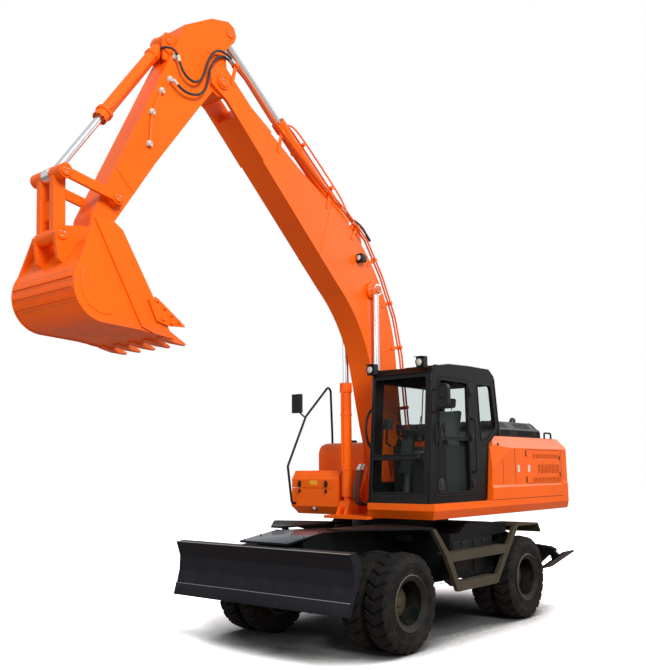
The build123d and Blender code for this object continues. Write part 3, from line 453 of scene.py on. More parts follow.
def bare_metal(name, colour, rough, grain=30, stretch=None, relief=0.0):
    mat, tree = new_material(name)
    streak = noise(tree, grain, stretch=stretch)
    normal = bumped(tree, relief, 0.001, streak) if relief else None
    return coated(mat, blend(tree, streak * 0.4, colour, scaled(colour, 0.8)), rough + streak * 0.12, normal,
                  Metallic=1.0)


def plastic(name, colour, rough=0.5):
    mat, tree = new_material(name)
    drift = noise(tree, 3)
    return coated(mat, blend(tree, drift, colour, scaled(colour, 1.25)), rough + drift * 0.1,
                  bumped(tree, 0.35, 0.0006, noise(tree, 260, 2), EDGE), Specular_IOR_Level=0.3)


def cast_iron():
    mat, tree = new_material("grey_casting")
    grain = noise(tree, 40, 4, 0.6)
    base = blend(tree, grain, rgb(78, 80, 82), rgb(110, 112, 114))
    return coated(mat, base, 0.6, bumped(tree, 0.5, 0.002, grain))


chrome = bare_metal("chrome_rod", rgb(236, 238, 242), 0.18, stretch=(1, 1, 0.05))
steel = bare_metal("bright_steel", rgb(176, 174, 170), 0.32, 60, relief=0.2)
dark_steel = bare_metal("dark_steel", rgb(70, 68, 66), 0.42, 60, relief=0.3)
mirror_glass = bare_metal("mirror_glass", rgb(200, 205, 208), 0.03, 4)
zinc = plastic("zinc_plate", rgb(196, 196, 190), 0.42)
black_plastic = plastic("black_plastic", rgb(18, 18, 20))
grey_plastic = plastic("grey_plastic", rgb(36, 39, 39), 0.55)
label_yellow = plastic("pale_label", rgb(226, 168, 40))
gasket = plastic("rubber_gasket", rgb(12, 12, 13), 0.65)
casting = cast_iron()
print("metals and plastics ready")

# %% [markdown]
# Tyres pick up dust on their walls and stay darker in the tread. The wall also carries faint
# rings from its mould: waves in the distance from the wheel's axis, which each point works out
# from its own coordinates. The same distance tells the rim's pale flange and khaki hub apart.

# %% Wheel finishes
AXLE_X = {"front": 1600, "rear": -1130}
WHEEL_Z = 527


def from_axle(tree):
    """Distance of the shaded point from the nearer axle's line."""
    x, _, z = axes(tree)
    front, rear = ((x - at(reach, 0, 0).x).size() for reach in AXLE_X.values())
    along, height = front.least(rear), z - WHEEL_Z / 1000
    return (along * along + height * height).power(0.5)


def tyre_rubber():
    mat, tree = new_material("tyre_rubber")
    reach = from_axle(tree)
    wall = 1.0 - reach.smooth(0.45, 0.50)
    dust = noise(tree, 7, 5, 0.6).smooth(0.35, 0.8)
    base = blend(tree, dust * (wall * 0.5 + 0.18), rgb(17, 17, 18), rgb(56, 50, 42))
    rings = (reach * 420.0).wave() * (wall * 1.4)
    grain = bumped(tree, 0.45, 0.003, noise(tree, 120) + rings, 3 * EDGE)
    return coated(mat, base, 0.66 + dust * 0.15, grain, Specular_IOR_Level=0.16)


def rim_finish():
    mat, tree = new_material("rim_paint")
    reach = from_axle(tree)
    dirt = noise(tree, 6, 5, 0.6).smooth(0.4, 0.8) * 0.25
    base = blend(tree, 1.0 - reach.smooth(0.168, 0.172), rgb(14, 16, 17), rgb(64, 60, 46))
    base = blend(tree, reach.smooth(0.287, 0.289), base, rgb(84, 78, 66))
    base = blend(tree, dirt, base, rgb(80, 72, 58))
    rounded_edges = make(tree, "ShaderNodeBevel", {"samples": 4}, {"Radius": EDGE})
    return coated(mat, base, 0.45 + dirt, rounded_edges, Specular_IOR_Level=0.25)


rubber = tyre_rubber()
rims = rim_finish()
print("wheel finishes:", rubber.name, rims.name)

# %% [markdown]
# Cab glass is clear with a faint tint: a Transparent shader keeps the view through it sharp, and
# a glossy coat is mixed in by the angle of view, so that it mirrors more at a grazing angle. Lamps
# have a brighter glass with fine ribs. Hoses have a diamond braid from two crossing waves.

# %% Glass, cloth and hose


def clear_glass():
    mat, tree = new_material("cab_glass")
    clear = make(tree, "ShaderNodeBsdfTransparent", None, {"Color": (0.93, 0.955, 0.95, 1)})
    gloss = make(tree, "ShaderNodeBsdfPrincipled", None,
                 {"Base Color": (0.02, 0.025, 0.025, 1), "Roughness": 0.05})
    slant = make(tree, "ShaderNodeLayerWeight", None, {"Blend": 0.5}, 1)
    give(tree, mixed(tree, slant.power(4.0) * 0.6 + 0.03, clear, gloss))
    return mat


def lamp_glass(name, colour):
    mat, tree = new_material(name)
    y, z = axes(tree)[1:]
    ribs = (y * 900.0).wave() * (z * 900.0).wave()
    base = blend(tree, ribs * 0.2 + 0.2, colour, rgb(235, 235, 232))
    return coated(mat, base, 0.12, bumped(tree, 0.6, 0.002, ribs), Coat_Weight=0.6)


def seat_cloth():
    mat, tree = new_material("seat_cloth")
    weave = make(tree, "ShaderNodeTexWave", {"wave_type": "BANDS"},
                 {"Vector": place_in(tree), "Scale": 160.0, "Distortion": 1.5})
    return coated(mat, blend(tree, weave * 0.5, rgb(62, 68, 66), rgb(88, 95, 92)), 0.9,
                  bumped(tree, 0.4, 0.001, weave), Sheen_Weight=0.2)


def hose_rubber():
    mat, tree = new_material("braided_hose")
    x, _, z = axes(tree)
    braid = ((x + z) * 520.0).wave() * ((x - z) * 520.0).wave()
    return coated(mat, blend(tree, braid.smooth(0.0, 1.0) * 0.6, rgb(26, 25, 24), rgb(80, 76, 70)), 0.55,
                  bumped(tree, 0.6, 0.0015, braid))


glass = clear_glass()
lens_glass = lamp_glass("lamp_lens", rgb(205, 198, 190))
red_lens = lamp_glass("red_lens", rgb(150, 18, 14))
amber_lens = lamp_glass("amber_lens", rgb(220, 110, 14))
cloth = seat_cloth()
hose_black = hose_rubber()
print("materials:", len(bpy.data.materials))

# %% [markdown]
# Each node of the imported model has one material slot. A table of name beginnings says which
# finish it takes, and the first that fits wins.

# %% Finish the carried-over nodes
FINISHES = (
    (("tyres",), rubber),
    (("rims",), rims),
    (("side_steps",), khaki),
    (("boom_rods", "arm_rod", "bucket_rod", "blade_rods", "outrigger_rod"), chrome),
    (("blade",), blade_black),
    (("chassis", "front_axle", "rear_axle", "knuckle", "outrigger"), black_frame),
    (("cab_glass", "door_glass"), glass),
    (("cab_console",), grey_plastic),
    (("cab_",), cab_black),
    (("seat",), cloth),
    (("fittings", "hood"), black_plastic),
    (("engine_block",), casting),
    (("arm_hose",), hose_black),
    (("side_door",), door_orange_slot_shade),
    (("bucket_barrel",), orange),
    (("bucket",), bucket_orange),
    (("",), orange),
)
for name, node in nodes.items():
    for slot in node.material_slots:
        slot.material = next(finish for starts, finish in FINISHES if name.startswith(starts))
print("finished nodes:", len(nodes))

# %% [markdown]
# The smaller pieces are built in mesh code. Maker gathers several solids of one finish into one
# mesh: outlines given thickness, turned shapes and tubes. Its done() merges doubles, points the
# faces outwards, chamfers the edges and makes the piece ride on its body.

# %% Mesh tools
SHARP = math.radians(38)          # edges below this angle are shaded smooth
CHAMFERED = math.radians(28)      # edges above this angle get a chamfer
ALONG_X, ALONG_Y, ALONG_Z = Vector((1, 0, 0)), Vector((0, 1, 0)), Vector((0, 0, 1))


def frame_of(axis):
    """An axis of length 1 and two directions square to it."""
    axis = Vector(axis).normalized()
    side = axis.cross(ALONG_Z if abs(axis.z) < 0.9 else ALONG_X).normalized()
    return axis, side, side.cross(axis)


def ring(centre, side, other, radius, count, start=0.0):
    """Points round a circle, given two directions in its plane."""
    return [centre + (side * math.cos(a) + other * math.sin(a)) * radius
            for a in (start + 2 * math.pi * i / count for i in range(count))]


def rounded(outline, radius, steps=5):
    """A closed outline with each corner replaced by a short curve."""
    line = []
    for i, corner in enumerate(outline):
        before, after = outline[i - 1], outline[(i + 1) % len(outline)]
        start = corner + (before - corner).normalized() * radius
        end = corner + (after - corner).normalized() * radius
        for k in range(steps + 1):
            t = k / steps
            line.append(start * (1 - t) ** 2 + corner * 2 * t * (1 - t) + end * t ** 2)
    return line


def collar(length, inner, outer, slope):
    """Rows for a turned band with sloping ends."""
    return (0, inner), (slope, outer), (length - slope, outer), (length, inner)


class Maker:
    """Solids of one finish, gathered into one mesh."""

    def __init__(self):
        self.bm = bmesh.new()

    def skin(self, rings, closed=False):
        """Join rings of points in order, and close the ends."""
        rows = [[self.bm.verts.new(p) for p in ring] for ring in rings]
        for one, two in zip(rows, rows[1:] + rows[:1] if closed else rows[1:]):
            for i in range(len(one)):
                j = (i + 1) % len(one)
                self.bm.faces.new((one[i], one[j], two[j], two[i]))
        if not closed:
            self.bm.faces.new(rows[0][::-1])
            self.bm.faces.new(rows[-1])
        return self

    def slab(self, outline, thick):
        """An outline of points given thickness along a vector."""
        return self.skin([outline, [p + Vector(thick) for p in outline]])

    def card(self, outline, corner, thick):
        """The same with rounded corners."""
        return self.slab(rounded(outline, corner), thick)

    def turned(self, centre, axis, rows, sides=24):
        """A turned shape: rows of (distance along the axis, radius)."""
        axis, side, other = frame_of(axis)
        return self.skin([ring(centre + axis * along, side, other, max(radius, 0.0004), sides)
                          for along, radius in rows])

    def tube(self, line, radius, sides=8, closed=False):
        """A round tube along a line of points, its section carried along without twist."""
        count = len(line)
        heads = [(line[(i + 1) % count if closed else min(i + 1, count - 1)]
                  - line[(i - 1) if closed else max(i - 1, 0)]).normalized() for i in range(count)]
        side = frame_of(heads[0])[1]
        rings = []
        for point, head in zip(line, heads):
            side = (side - head * side.dot(head)).normalized()
            rings.append(ring(point, side, head.cross(side), radius, sides))
        return self.skin(rings, closed)

    def pipe(self, places, radius, where=at, sides=10):
        """A tube along a smooth line."""
        return self.tube(smooth_line(places, where), radius, sides)

    def seal(self, outline, radius=0.008, corner=0.045):
        """A closed tube round an outline with rounded corners."""
        return self.tube(rounded(outline, corner), radius, closed=True)

    def done(self, name, body, material, bevel=0.0, slot=None):
        bm = self.bm
        bmesh.ops.remove_doubles(bm, verts=bm.verts, dist=0.00005)
        bmesh.ops.recalc_face_normals(bm, faces=bm.faces)
        if bevel:
            edges = [e for e in bm.edges if len(e.link_faces) == 2 and e.calc_face_angle() > CHAMFERED]
            bmesh.ops.bevel(bm, geom=edges, offset=bevel, segments=2, affect="EDGES", profile=0.5)
        for face in bm.faces:
            face.smooth = True
        for edge in bm.edges:
            edge.smooth = len(edge.link_faces) == 2 and edge.calc_face_angle() < SHARP
        mesh = bpy.data.meshes.new(name)
        bm.to_mesh(mesh)
        bm.free()
        mesh.materials.append(material)
        return keep(name, mesh, body)


made = {}


def keep(name, mesh, body):
    """Put a finished mesh in the scene as a piece of its body."""
    piece = placed(name, mesh)
    if body:
        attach(piece, body)
    made[name] = sum(len(p.vertices) - 2 for p in mesh.polygons)
    return piece


# %% [markdown]
# Bolts, nuts and tread studs repeat by the hundred, so Geometry Nodes place them. A small mesh
# holds one point for each, with the way it faces and its size as attributes. The tree turns one
# head to each point, realizes the copies and sets their material, and the result becomes a plain
# mesh. Each head has only a few dozen faces.

# %% Repeated fasteners


def repeat_tree(name, head):
    """A tree that puts a copy of a head on each point of a mesh."""
    tree = bpy.data.node_groups.new(name, "GeometryNodeTree")
    for label, way, kind in (("Points", "INPUT", "Geometry"), ("Finish", "INPUT", "Material"),
                             ("Geometry", "OUTPUT", "Geometry")):
        tree.interface.new_socket(label, in_out=way, socket_type="NodeSocket" + kind)
    given = tree.nodes.new("NodeGroupInput").outputs
    points, finish = (Val(tree, given[key]) for key in ("Points", "Finish"))
    facing = make(tree, "GeometryNodeInputNamedAttribute", {"data_type": "FLOAT_VECTOR"}, {"Name": "facing"})
    girth = make(tree, "GeometryNodeInputNamedAttribute", {"data_type": "FLOAT"}, {"Name": "girth"})
    turn = make(tree, "FunctionNodeAlignRotationToVector", {"axis": "Z"}, {"Vector": facing})
    spread = make(tree, "GeometryNodeInstanceOnPoints", None,
                  {"Points": points, "Instance": head(tree), "Rotation": turn, "Scale": girth})
    real = make(tree, "GeometryNodeRealizeInstances", None, {"Geometry": spread})
    dressed = make(tree, "GeometryNodeSetMaterial", None, {"Geometry": real, "Material": finish})
    tree.links.new(dressed.socket, tree.nodes.new("NodeGroupOutput").inputs[0])
    return tree


def joined(tree, *shapes):
    node = tree.nodes.new("GeometryNodeJoinGeometry")
    for shape in reversed(shapes):
        tree.links.new(shape.socket, node.inputs[0])
    return Val(tree, node.outputs[0])


def lifted(tree, shape, height):
    return make(tree, "GeometryNodeTransform", None, {"Geometry": shape, "Translation": (0, 0, height)})


def bolt_head(tree):
    washer = make(tree, "GeometryNodeMeshCylinder", None, {"Vertices": 12, "Radius": 1.3, "Depth": 0.2})
    flats = make(tree, "GeometryNodeMeshCylinder", None, {"Vertices": 6, "Radius": 1.0, "Depth": 0.7})
    crown = make(tree, "GeometryNodeMeshCone", None,
                 {"Vertices": 6, "Radius Top": 0.72, "Radius Bottom": 1.0, "Depth": 0.14})
    return joined(tree, lifted(tree, washer, 0.1), lifted(tree, flats, 0.5), lifted(tree, crown, 0.85))


def stud_head(tree):
    """A low four-sided stud, as on tread plate."""
    return make(tree, "GeometryNodeMeshCone", None,
                {"Vertices": 4, "Radius Top": 0.45, "Radius Bottom": 1.0, "Depth": 0.3})


BOLTS = repeat_tree("bolts_on_points", bolt_head)
STUDS = repeat_tree("studs_on_points", stud_head)


def as_mesh(piece):
    """A piece with its modifiers, as a new mesh."""
    return bpy.data.meshes.new_from_object(piece.evaluated_get(bpy.context.evaluated_depsgraph_get()))


def grown(name, source, tree, finish):
    """Run a Geometry Nodes tree on a mesh and return the result as a plain mesh."""
    holder = placed(name + "_points", source)
    growth = holder.modifiers.new("growth", "NODES")
    growth.node_group = tree
    for item in tree.interface.items_tree:
        if item.name == "Finish":
            growth[item.identifier] = finish
    bpy.context.view_layer.update()
    mesh = as_mesh(holder)
    mesh.name = name
    holder.modifiers.remove(growth)
    bpy.data.objects.remove(holder)
    return mesh


def fasteners(name, body, spots, material, tree=BOLTS):
    """Fasteners at spots of (place, facing, size in metres)."""
    source = bpy.data.meshes.new(name + "_spots")
    source.from_pydata([s[0] for s in spots], [], [])
    facing = source.attributes.new("facing", "FLOAT_VECTOR", "POINT")
    facing.data.foreach_set("vector", [c for s in spots for c in Vector(s[1]).normalized()])
    girth = source.attributes.new("girth", "FLOAT", "POINT")
    girth.data.foreach_set("value", [s[2] for s in spots])
    return keep(name, grown(name, source, tree, material), body)


def circle_of(centre, axis, radius, count, size, start=0.0):
    """Spots for a bolt circle."""
    side, other = frame_of(axis)[1:]
    return [(spot, axis, size) for spot in ring(centre, side, other, radius, count, start)]


print("trees:", BOLTS.name, STUDS.name)

# %% [markdown]
# The two hoses over the arm's pin run from the boom's pipes to the blocks on the arm. They ride on
# no body and stay where they are drawn, and the model's own hoses are hidden. Each has a pale
# crimped fitting at both ends.

# %% Arm hoses
HOSE_WIDTH = 0.028
CRIMP = ((0, 0.012), (0.002, 0.019), (0.022, 0.019), (0.024, 0.0165), (0.062, 0.0165), (0.064, 0.0142))
for name, line, length in zip(("arm_hose_upper", "arm_hose_lower"), arm_hose_lines, (1.19, 1.24)):
    fittings = Maker()
    for end, inside in ((line[0], line[4]), (line[-1], line[-5])):
        inward = (inside - end).normalized()
        fittings.turned(end - inward * 0.004, inward, CRIMP, 12)
    ends = fittings.done(name + "_ends", None, zinc)
    hose = Maker().tube(line, HOSE_WIDTH / 2, 12).done(name + "_hose", None, hose_black)
    for piece in (hose, ends):
        on_boom(3420, 200, 6400)
        on_boom(3900, 200, 6000)
        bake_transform(piece)
    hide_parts(name)
print("arm hoses dressed")

# %% [markdown]
# Pin heads: every joint of the boom, arm and bucket ends in a turned boss with a dished face and
# three bolts in it. One table lists the joints: the body that carries the head, the pin's place
# seen from the side, how far out the face is, and the head's radius.

# %% Pin heads
PINS = (
    ("upper", 200, 1850, 282, 78), ("upper", 740, 1472, 330, 56), ("boom", 740, 4240, 300, 56),
    ("boom", 3410, 6150, 205, 66), ("boom", 940, 5030, 97, 50), ("arm", 3260, 6800, 140, 58),
    ("arm", 4100, 6380, 104, 46), ("rocker", 4745, 4480, 230, 52), ("rocker", 5315, 4585, 240, 52),
    ("bucket", 5290, 4020, 185, 56), ("bucket", 4900, 4050, 185, 66),
)
heads, keepers = {}, {}
for body, x, z, face, radius in PINS:
    r = radius / 1000
    dished = ((-0.001, r), (0.010, r), (0.014, r * 0.93), (0.014, r * 0.72), (0.009, r * 0.66),
              (0.009, r * 0.2), (0.013, r * 0.14), (0.013, 0))
    for s in SIDES:
        heads.setdefault(body, Maker()).turned(on_boom(x, s * face, z), (0, s, 0), dished, 28)
        keepers.setdefault(body, []).extend(
            circle_of(on_boom(x, s * (face + 9), z), (0, s, 0), r * 0.44, 3, r * 0.13, 0.6 * s))
for body in heads:
    heads[body].done(f"pin_heads_{body}", body, bucket_orange if body == "bucket" else orange)
    fasteners(f"pin_bolts_{body}", body, keepers[body], steel)
print("pin heads:", 2 * len(PINS))

# %% [markdown]
# Cab trim. Every pane sits in a black rubber gasket: a tube round the window's outline, with the
# corners rounded by a short curve. The windscreen leans back, so its gasket follows the slope.

# %% Window gaskets
CAB_OUT, CAB_IN = 1160, 285       # the cab's two sides
SCREEN_X, SCREEN_Z, SCREEN_LEAN = 1070, 1544.3, 0.09057
SCREEN_AXIS = (1, 0, 0.09)


def on_screen(y, z, out):
    """A place so far in front of the leaning windscreen."""
    return at(SCREEN_X - (z - SCREEN_Z) * SCREEN_LEAN + out, y, z)


DOOR_PANES = (((833, 2321), (788, 3003), (135, 3003), (135, 2321)),
              ((880, 1668), (837, 2290), (135, 2290), (135, 1668)))
DOOR_EDGE = ((950, 1630), (826, 3030), (110, 3030), (110, 1630))
QUARTER = ((-165, 2295), (-112, 3010), (-462, 3010), (-565, 2475), (-325, 2295))
OFFSIDE = ((850, 1780), (755, 3010), (-440, 3010), (-560, 2490), (-300, 2330), (-240, 1780))
seals = Maker()
for z0, z1 in ((1665, 2055), (2110, 3035)):
    seals.seal([on_screen(y, z, 2) for y, z in oblong(325, 1080, z0, z1)], 0.009)
seals.seal(side_view(CAB_OUT + 1, QUARTER)).seal(side_view(CAB_IN - 1, OFFSIDE))
seals.done("window_gaskets", "upper", gasket, slot="cab_black")
seals = Maker().seal(side_view(CAB_OUT - 1, DOOR_EDGE), 0.006, 0.03)
for outline in DOOR_PANES:
    seals.seal(side_view(CAB_OUT + 1, outline))
seals.done("door_gaskets", "cab_door", gasket, slot="cab_black")
print("gaskets:", made["window_gaskets"] + made["door_gaskets"], "triangles")

# %% [markdown]
# On the cab's outside: a ridge round the roof, corner posts that stand a little proud and catch
# the light, a wiper parked on the windscreen, the door's latch plate and handle, a grab rail,
# three hinges, and bolts along the posts.

# %% Cab outside
ROOF_LINE = ((928, 3098), (878, 3166), (780, 3168), (560, 3201), (100, 3218), (-430, 3218), (-562, 3128))
POST_LINE = ((-560, 3112), (-648, 2446), (-352, 2270), (-258, 1560))
shell = Maker()
for y, inward in ((CAB_IN, 1), (CAB_OUT, -1)):
    shell.tube(side_view(y + 6 * inward, ROOF_LINE), 0.011)
    shell.tube([on_screen(y + 14 * inward, z, 3) for z in (1560, 2000, 2500, 3080)], 0.013)
shell.tube([on_screen(y, 3088, 4) for y in (CAB_IN + 14, 500, 800, CAB_OUT - 14)], 0.012)
shell.tube(side_view(CAB_OUT + 1, POST_LINE), 0.009)
shell.slab(side_view(480, ((520, 3199), (80, 3213), (80, 3233), (500, 3221))), (0, 0.50, 0))
shell.done("cab_ridges", "upper", cab_black, 0.002)

wiper = Maker()
KNOB = ((0, 0.026), (0.022, 0.026), (0.03, 0.018), (0.03, 0))
wiper.turned(on_screen(1000, 2083, -2), SCREEN_AXIS, KNOB, 14)
wiper.tube([on_screen(1000, 2083, 26), on_screen(1020, 2450, 34), on_screen(1030, 2560, 22)], 0.006)
wiper.slab([on_screen(1024, 2220, 6), on_screen(1026, 2220, 22), on_screen(1040, 2900, 22),
            on_screen(1038, 2900, 6)], (0, 0.008, 0))
wiper.done("wiper", "upper", black_plastic)

plate = Maker()
plate.card(side_view(CAB_OUT - 1, ((872, 1690), (860, 1820), (775, 1850), (720, 1690))), 0.03, (0, 0.007, 0))
plate.card(side_view(CAB_OUT + 5, ((845, 1730), (838, 1795), (790, 1800), (778, 1730))), 0.016, (0, 0.012, 0))
plate.done("door_latch_plate", "cab_door", grey_plastic, 0.0015)
for name, body, radius, places in (
        ("door_handle", "cab_door", 0.011, ((862, 1158, 2230), (862, 1200, 2236), (858, 1206, 2300),
                                            (852, 1206, 2420), (850, 1200, 2480), (850, 1158, 2486))),
        ("cab_grab_rail", "upper", 0.014, ((60, 1158, 1900), (60, 1215, 1905), (60, 1222, 1960),
                                           (60, 1222, 2500), (60, 1215, 2555), (60, 1158, 2560)))):
    Maker().pipe(places, radius).done(name, body, black_plastic)

hinges = Maker()
for z in (1760, 2330, 2890):
    hinges.turned(at(100, CAB_OUT + 7, z - 55), ALONG_Z, collar(0.11, 0.012, 0.015, 0.003), 14)
    hinges.slab(side_view(CAB_OUT - 1, oblong(20, 92, z - 45, z + 45)), (0, 0.008, 0))
hinges.done("cab_door_hinges", "upper", cab_black, 0.002)

POST_BOLTS = ((-40, 1640), (-40, 3080), (40, 1800), (40, 2370), (40, 2930), (-500, 3060), (-600, 2460),
              (-240, 2240))
cab_bolts = [(on_screen(y, z, 2), SCREEN_AXIS, 0.009)
             for y in (CAB_IN + 18, CAB_OUT - 40) for z in (1620, 2085, 2300, 2560, 2820)]
cab_bolts += [(spot, ALONG_Y, 0.009) for spot in side_view(CAB_OUT, POST_BOLTS)]
cab_bolts += [(at(x, y, 3214), ALONG_Z, 0.010) for x in (60, -180, -420) for y in (330, 1110)]
fasteners("cab_bolts", "upper", cab_bolts, dark_steel)
print("cab pieces:", [n for n in made if "cab" in n or "door" in n])

# %% [markdown]
# The two roof lamps have a bezel ring, a domed glass and a hood over it. The mirrors show a
# moulded back to the front and a glass to the driver, held by clamps on their arms.

# %% Lamps and mirrors


def work_lamp(spot, radius, body, name):
    """A round lamp that faces forward: a bezel, a bowl and a domed glass."""
    bowl = ((-0.002, 1.16), (0.012, 1.16), (0.018, 1.08), (0.018, 0.96), (0.004, 0.9), (0.004, 0))
    dome = ((0.004, 0.94), (0.012, 0.92), (0.018, 0.7), (0.021, 0.35), (0.022, 0))
    for part, rows, finish in (("bezel", bowl, black_plastic), ("glass", dome, lens_glass)):
        rows = [(along, share * radius) for along, share in rows]
        Maker().turned(spot, ALONG_X, rows, 28).done(f"{name}_{part}", body, finish)


for name, y, z in (("roof_lamp_right", 255, 3100), ("roof_lamp_left", 985, 3135)):
    work_lamp(at(1022, y + 55, z + 65), 0.046, "upper", name)
    visor = Maker()
    hood = ((935, z + 131), (1062, z + 126), (1062, z + 131), (935, z + 137))
    visor.slab(side_view(y - 3, hood), (0, 0.116, 0))
    visor.tube([at(930, y + 20, z + 20), at(900, y + 40, z - 8), at(860, y + 52, 3171)], 0.006)
    visor.done(name + "_visor", "upper", black_plastic, 0.001)

x, y, z = 985, 215, 4625          # middle of the lamp on the boom
lamp_box = Maker()
flared = ((x - 70, z - 40), (x + 40, z - 60), (x + 40, z + 60), (x - 70, z + 40))
lamp_box.slab(side_view(y - 42, flared, on_boom), (0, 0.084, 0))
lamp_box.slab(side_view(169, oblong(x - 150, x - 60, z - 24, z + 24), on_boom), (0, 0.010, 0))
lamp_box.pipe(((x - 105, 174, z), (x - 105, 215, z), (x - 40, 215, z)), 0.012, on_boom)
lamp_box.done("boom_lamp_housing", "boom", black_plastic, 0.006)
work_lamp(on_boom(x + 40, y, z), 0.040, "boom", "boom_lamp")


def mirror_outline(x, y, z, half_wide, half_tall):
    return front_view(x, oblong(y - half_wide, y + half_wide, z - half_tall, z + half_tall))


for name, x, y, z, wide, tall in (("left", 930, 1300, 2785, 160, 290), ("right", 660, -1235, 2850, 150, 260)):
    rim = Maker()
    for reach in (26, -26):
        rim.seal(mirror_outline(x + reach, y, z, wide / 2.25, tall / 2.2), 0.009, 0.055)
    rim.turned(at(x + 24, y, z), ALONG_X, ((0, 0.030), (0.012, 0.026), (0.016, 0.016), (0.016, 0)), 20)
    rim.done(f"mirror_{name}_rim", "upper", black_plastic)
    Maker().card(mirror_outline(x - 25.5, y, z, wide / 2.4, tall / 2.3), 0.05, (-0.002, 0, 0)).done(
        f"mirror_{name}_glass", "upper", mirror_glass)
print("lamps and mirrors:", [n for n in made if "lamp" in n or "mirror" in n])

# %% [markdown]
# Inside the cab, seen through the glass: levers with rubber boots on the side consoles, travel
# pedals, a monitor on the right post and a padded dash round the steering column.

# %% Cab inside
BOOT = ((0, 0.05), (0.012, 0.05), (0.03, 0.036), (0.045, 0.04), (0.06, 0.028), (0.075, 0.03), (0.09, 0.016))
GRIP = ((0, 0.015), (0.015, 0.023), (0.05, 0.019), (0.09, 0.024), (0.115, 0.02), (0.122, 0.0))
boots, sticks = Maker(), Maker()
for x, y in ((560, 402), (500, 1038)):
    boots.turned(at(x, y, 2229), ALONG_Z, BOOT, 20)
    sticks.tube([at(x, y, 2300), at(x + 12, y, 2390)], 0.010, 10)
    sticks.turned(at(x + 12, y, 2385), (0.1, 0, 1), GRIP, 16)
for y in (600, 660, 790, 850):
    sticks.slab(side_view(y, ((800, 1600), (870, 1640), (862, 1652), (792, 1612))), (0, 0.045, 0))
sticks.done("control_levers", "upper", black_plastic, 0.002)
boots.done("lever_boots", "upper", gasket, slot="black_plastic")
monitor = Maker()
monitor.slab([at(840, 350, 2430), at(840, 470, 2430), at(820, 470, 2560), at(820, 350, 2560)], (-0.045, 0, 0))
monitor.tube([at(815, 400, 2440), at(810, 380, 2260), at(700, 370, 2226)], 0.012, 10)
monitor.slab(side_view(640, ((860, 1900), (920, 1900), (850, 2300), (790, 2300))), (0, 0.16, 0))
monitor.done("monitor", "upper", grey_plastic, 0.006)
print("cab inside done")

# %% [markdown]
# The engine bay's outside: dark joints between the sheet metal panels, small blank plates where
# a maker would put stickers, round locks, door grips and hinges, and an exhaust stack with a
# turned tip on the black hood, whose top has ribs, hinge knuckles and bolts.

# %% Engine bay trim
SIDE_Y = 1236
BIG_LOCK = ((0, 0.02), (0.008, 0.02), (0.011, 0.016), (0.011, 0.008), (0.007, 0.006), (0.007, 0))
joint = Maker()
for s, front, posts in ((1, -290, ((-2404, 2206), (-958, 2206), (-620, 2060))),
                        (-1, -665, ((-2404, 2206), (-958, 2206)))):
    for x, top in posts:
        low = 1740 if x == -620 else 1736
        joint.slab(side_view(s * (SIDE_Y - 19.5), oblong(x - 3, x + 3, low, top)), (0, s * 0.0012, 0))
    joint.slab(side_view(s * (SIDE_Y + 0.5), oblong(-2398, front, 1547, 1552)), (0, s * 0.0015, 0))
joint.done("panel_joints", "upper", gasket, slot="body_orange")

plates, locks = Maker(), Maker()
for x in (-1054, -1360):
    plates.card(side_view(SIDE_Y - 20.5, oblong(x - 30, x + 30, 1890, 1985)), 0.008, (0, 0.003, 0))
plates.done("blank_plates", "upper", zinc)
locks.turned(at(-571, SIDE_Y - 60, 2252), (0, 1, 0.4), BIG_LOCK, 20)
locks.turned(at(-800, 21 - SIDE_Y, 2150), (0, -1, 0), BIG_LOCK, 20)
locks.done("round_locks", "upper", black_plastic)
for side_name, s in (("left", 1), ("right", -1)):
    grip = Maker()
    for z in (1850, 2080):
        pull = side_view(s * (SIDE_Y - 20.3), oblong(-2352, -2336, z - 28, z + 28))
        grip.card(pull, 0.005, (0, s * 0.010, 0))
    for z in (1750, 2100):
        grip.turned(at(-1279, s * (SIDE_Y - 20), z), ALONG_Z, collar(0.08, 0.008, 0.011, 0.002), 12)
    grip.done(f"side_door_grips_{side_name}", f"side_door_{side_name}", black_plastic, 0.001)

stack = Maker()
stack.pipe(((-2040, 640, 2560), (-2040, 640, 2600), (-2045, 640, 2630), (-2075, 640, 2650)), 0.045, sides=20)
stack.turned(at(-2040, 640, 2595), ALONG_Z, ((0, 0.07), (0.006, 0.07), (0.012, 0.05), (0.012, 0)), 24)
stack.done("exhaust_stack", "hood", dark_steel, slot="black_plastic")

ribs = Maker()
for x in (-2405, -2220, -1620, -1440, -1150):
    for y in (-900, 900):
        ribs.slab(plan_view(2385, oblong(x - 7, x + 7, y - 3, y + 3)), (0, 0, 0.09))
for y in (-620, -300, 0, 300, 620):
    ribs.slab(plan_view(2598, oblong(-2330, -1180, y - 12, y + 12)), (0, 0, 0.010))
for y in (-700, 700):
    ribs.turned(at(-1128, y - 45, 2374), ALONG_Y, ((0, 0.012), (0.09, 0.012)), 12)
ribs.done("hood_ribs", "hood", black_plastic, 0.002)
hood_bolts = [(at(x, s * 900, 2430), (0, s, 0), 0.008) for s in SIDES for x in (-2190, -1580, -1500)]
hood_bolts += [(at(x, y, 2600), ALONG_Z, 0.009) for x in (-2340, -1760, -1170) for y in (-760, 760)]
fasteners("hood_bolts", "hood", hood_bolts, dark_steel)
print("engine bay pieces:", len(made))

# %% [markdown]
# The toolbox lid has two black draw latches over its lower edge and a blank label. The tank
# beside it has a filler cap, two straps and a sight gauge; the counterweight has lamp clusters
# and tail plates without any lettering.

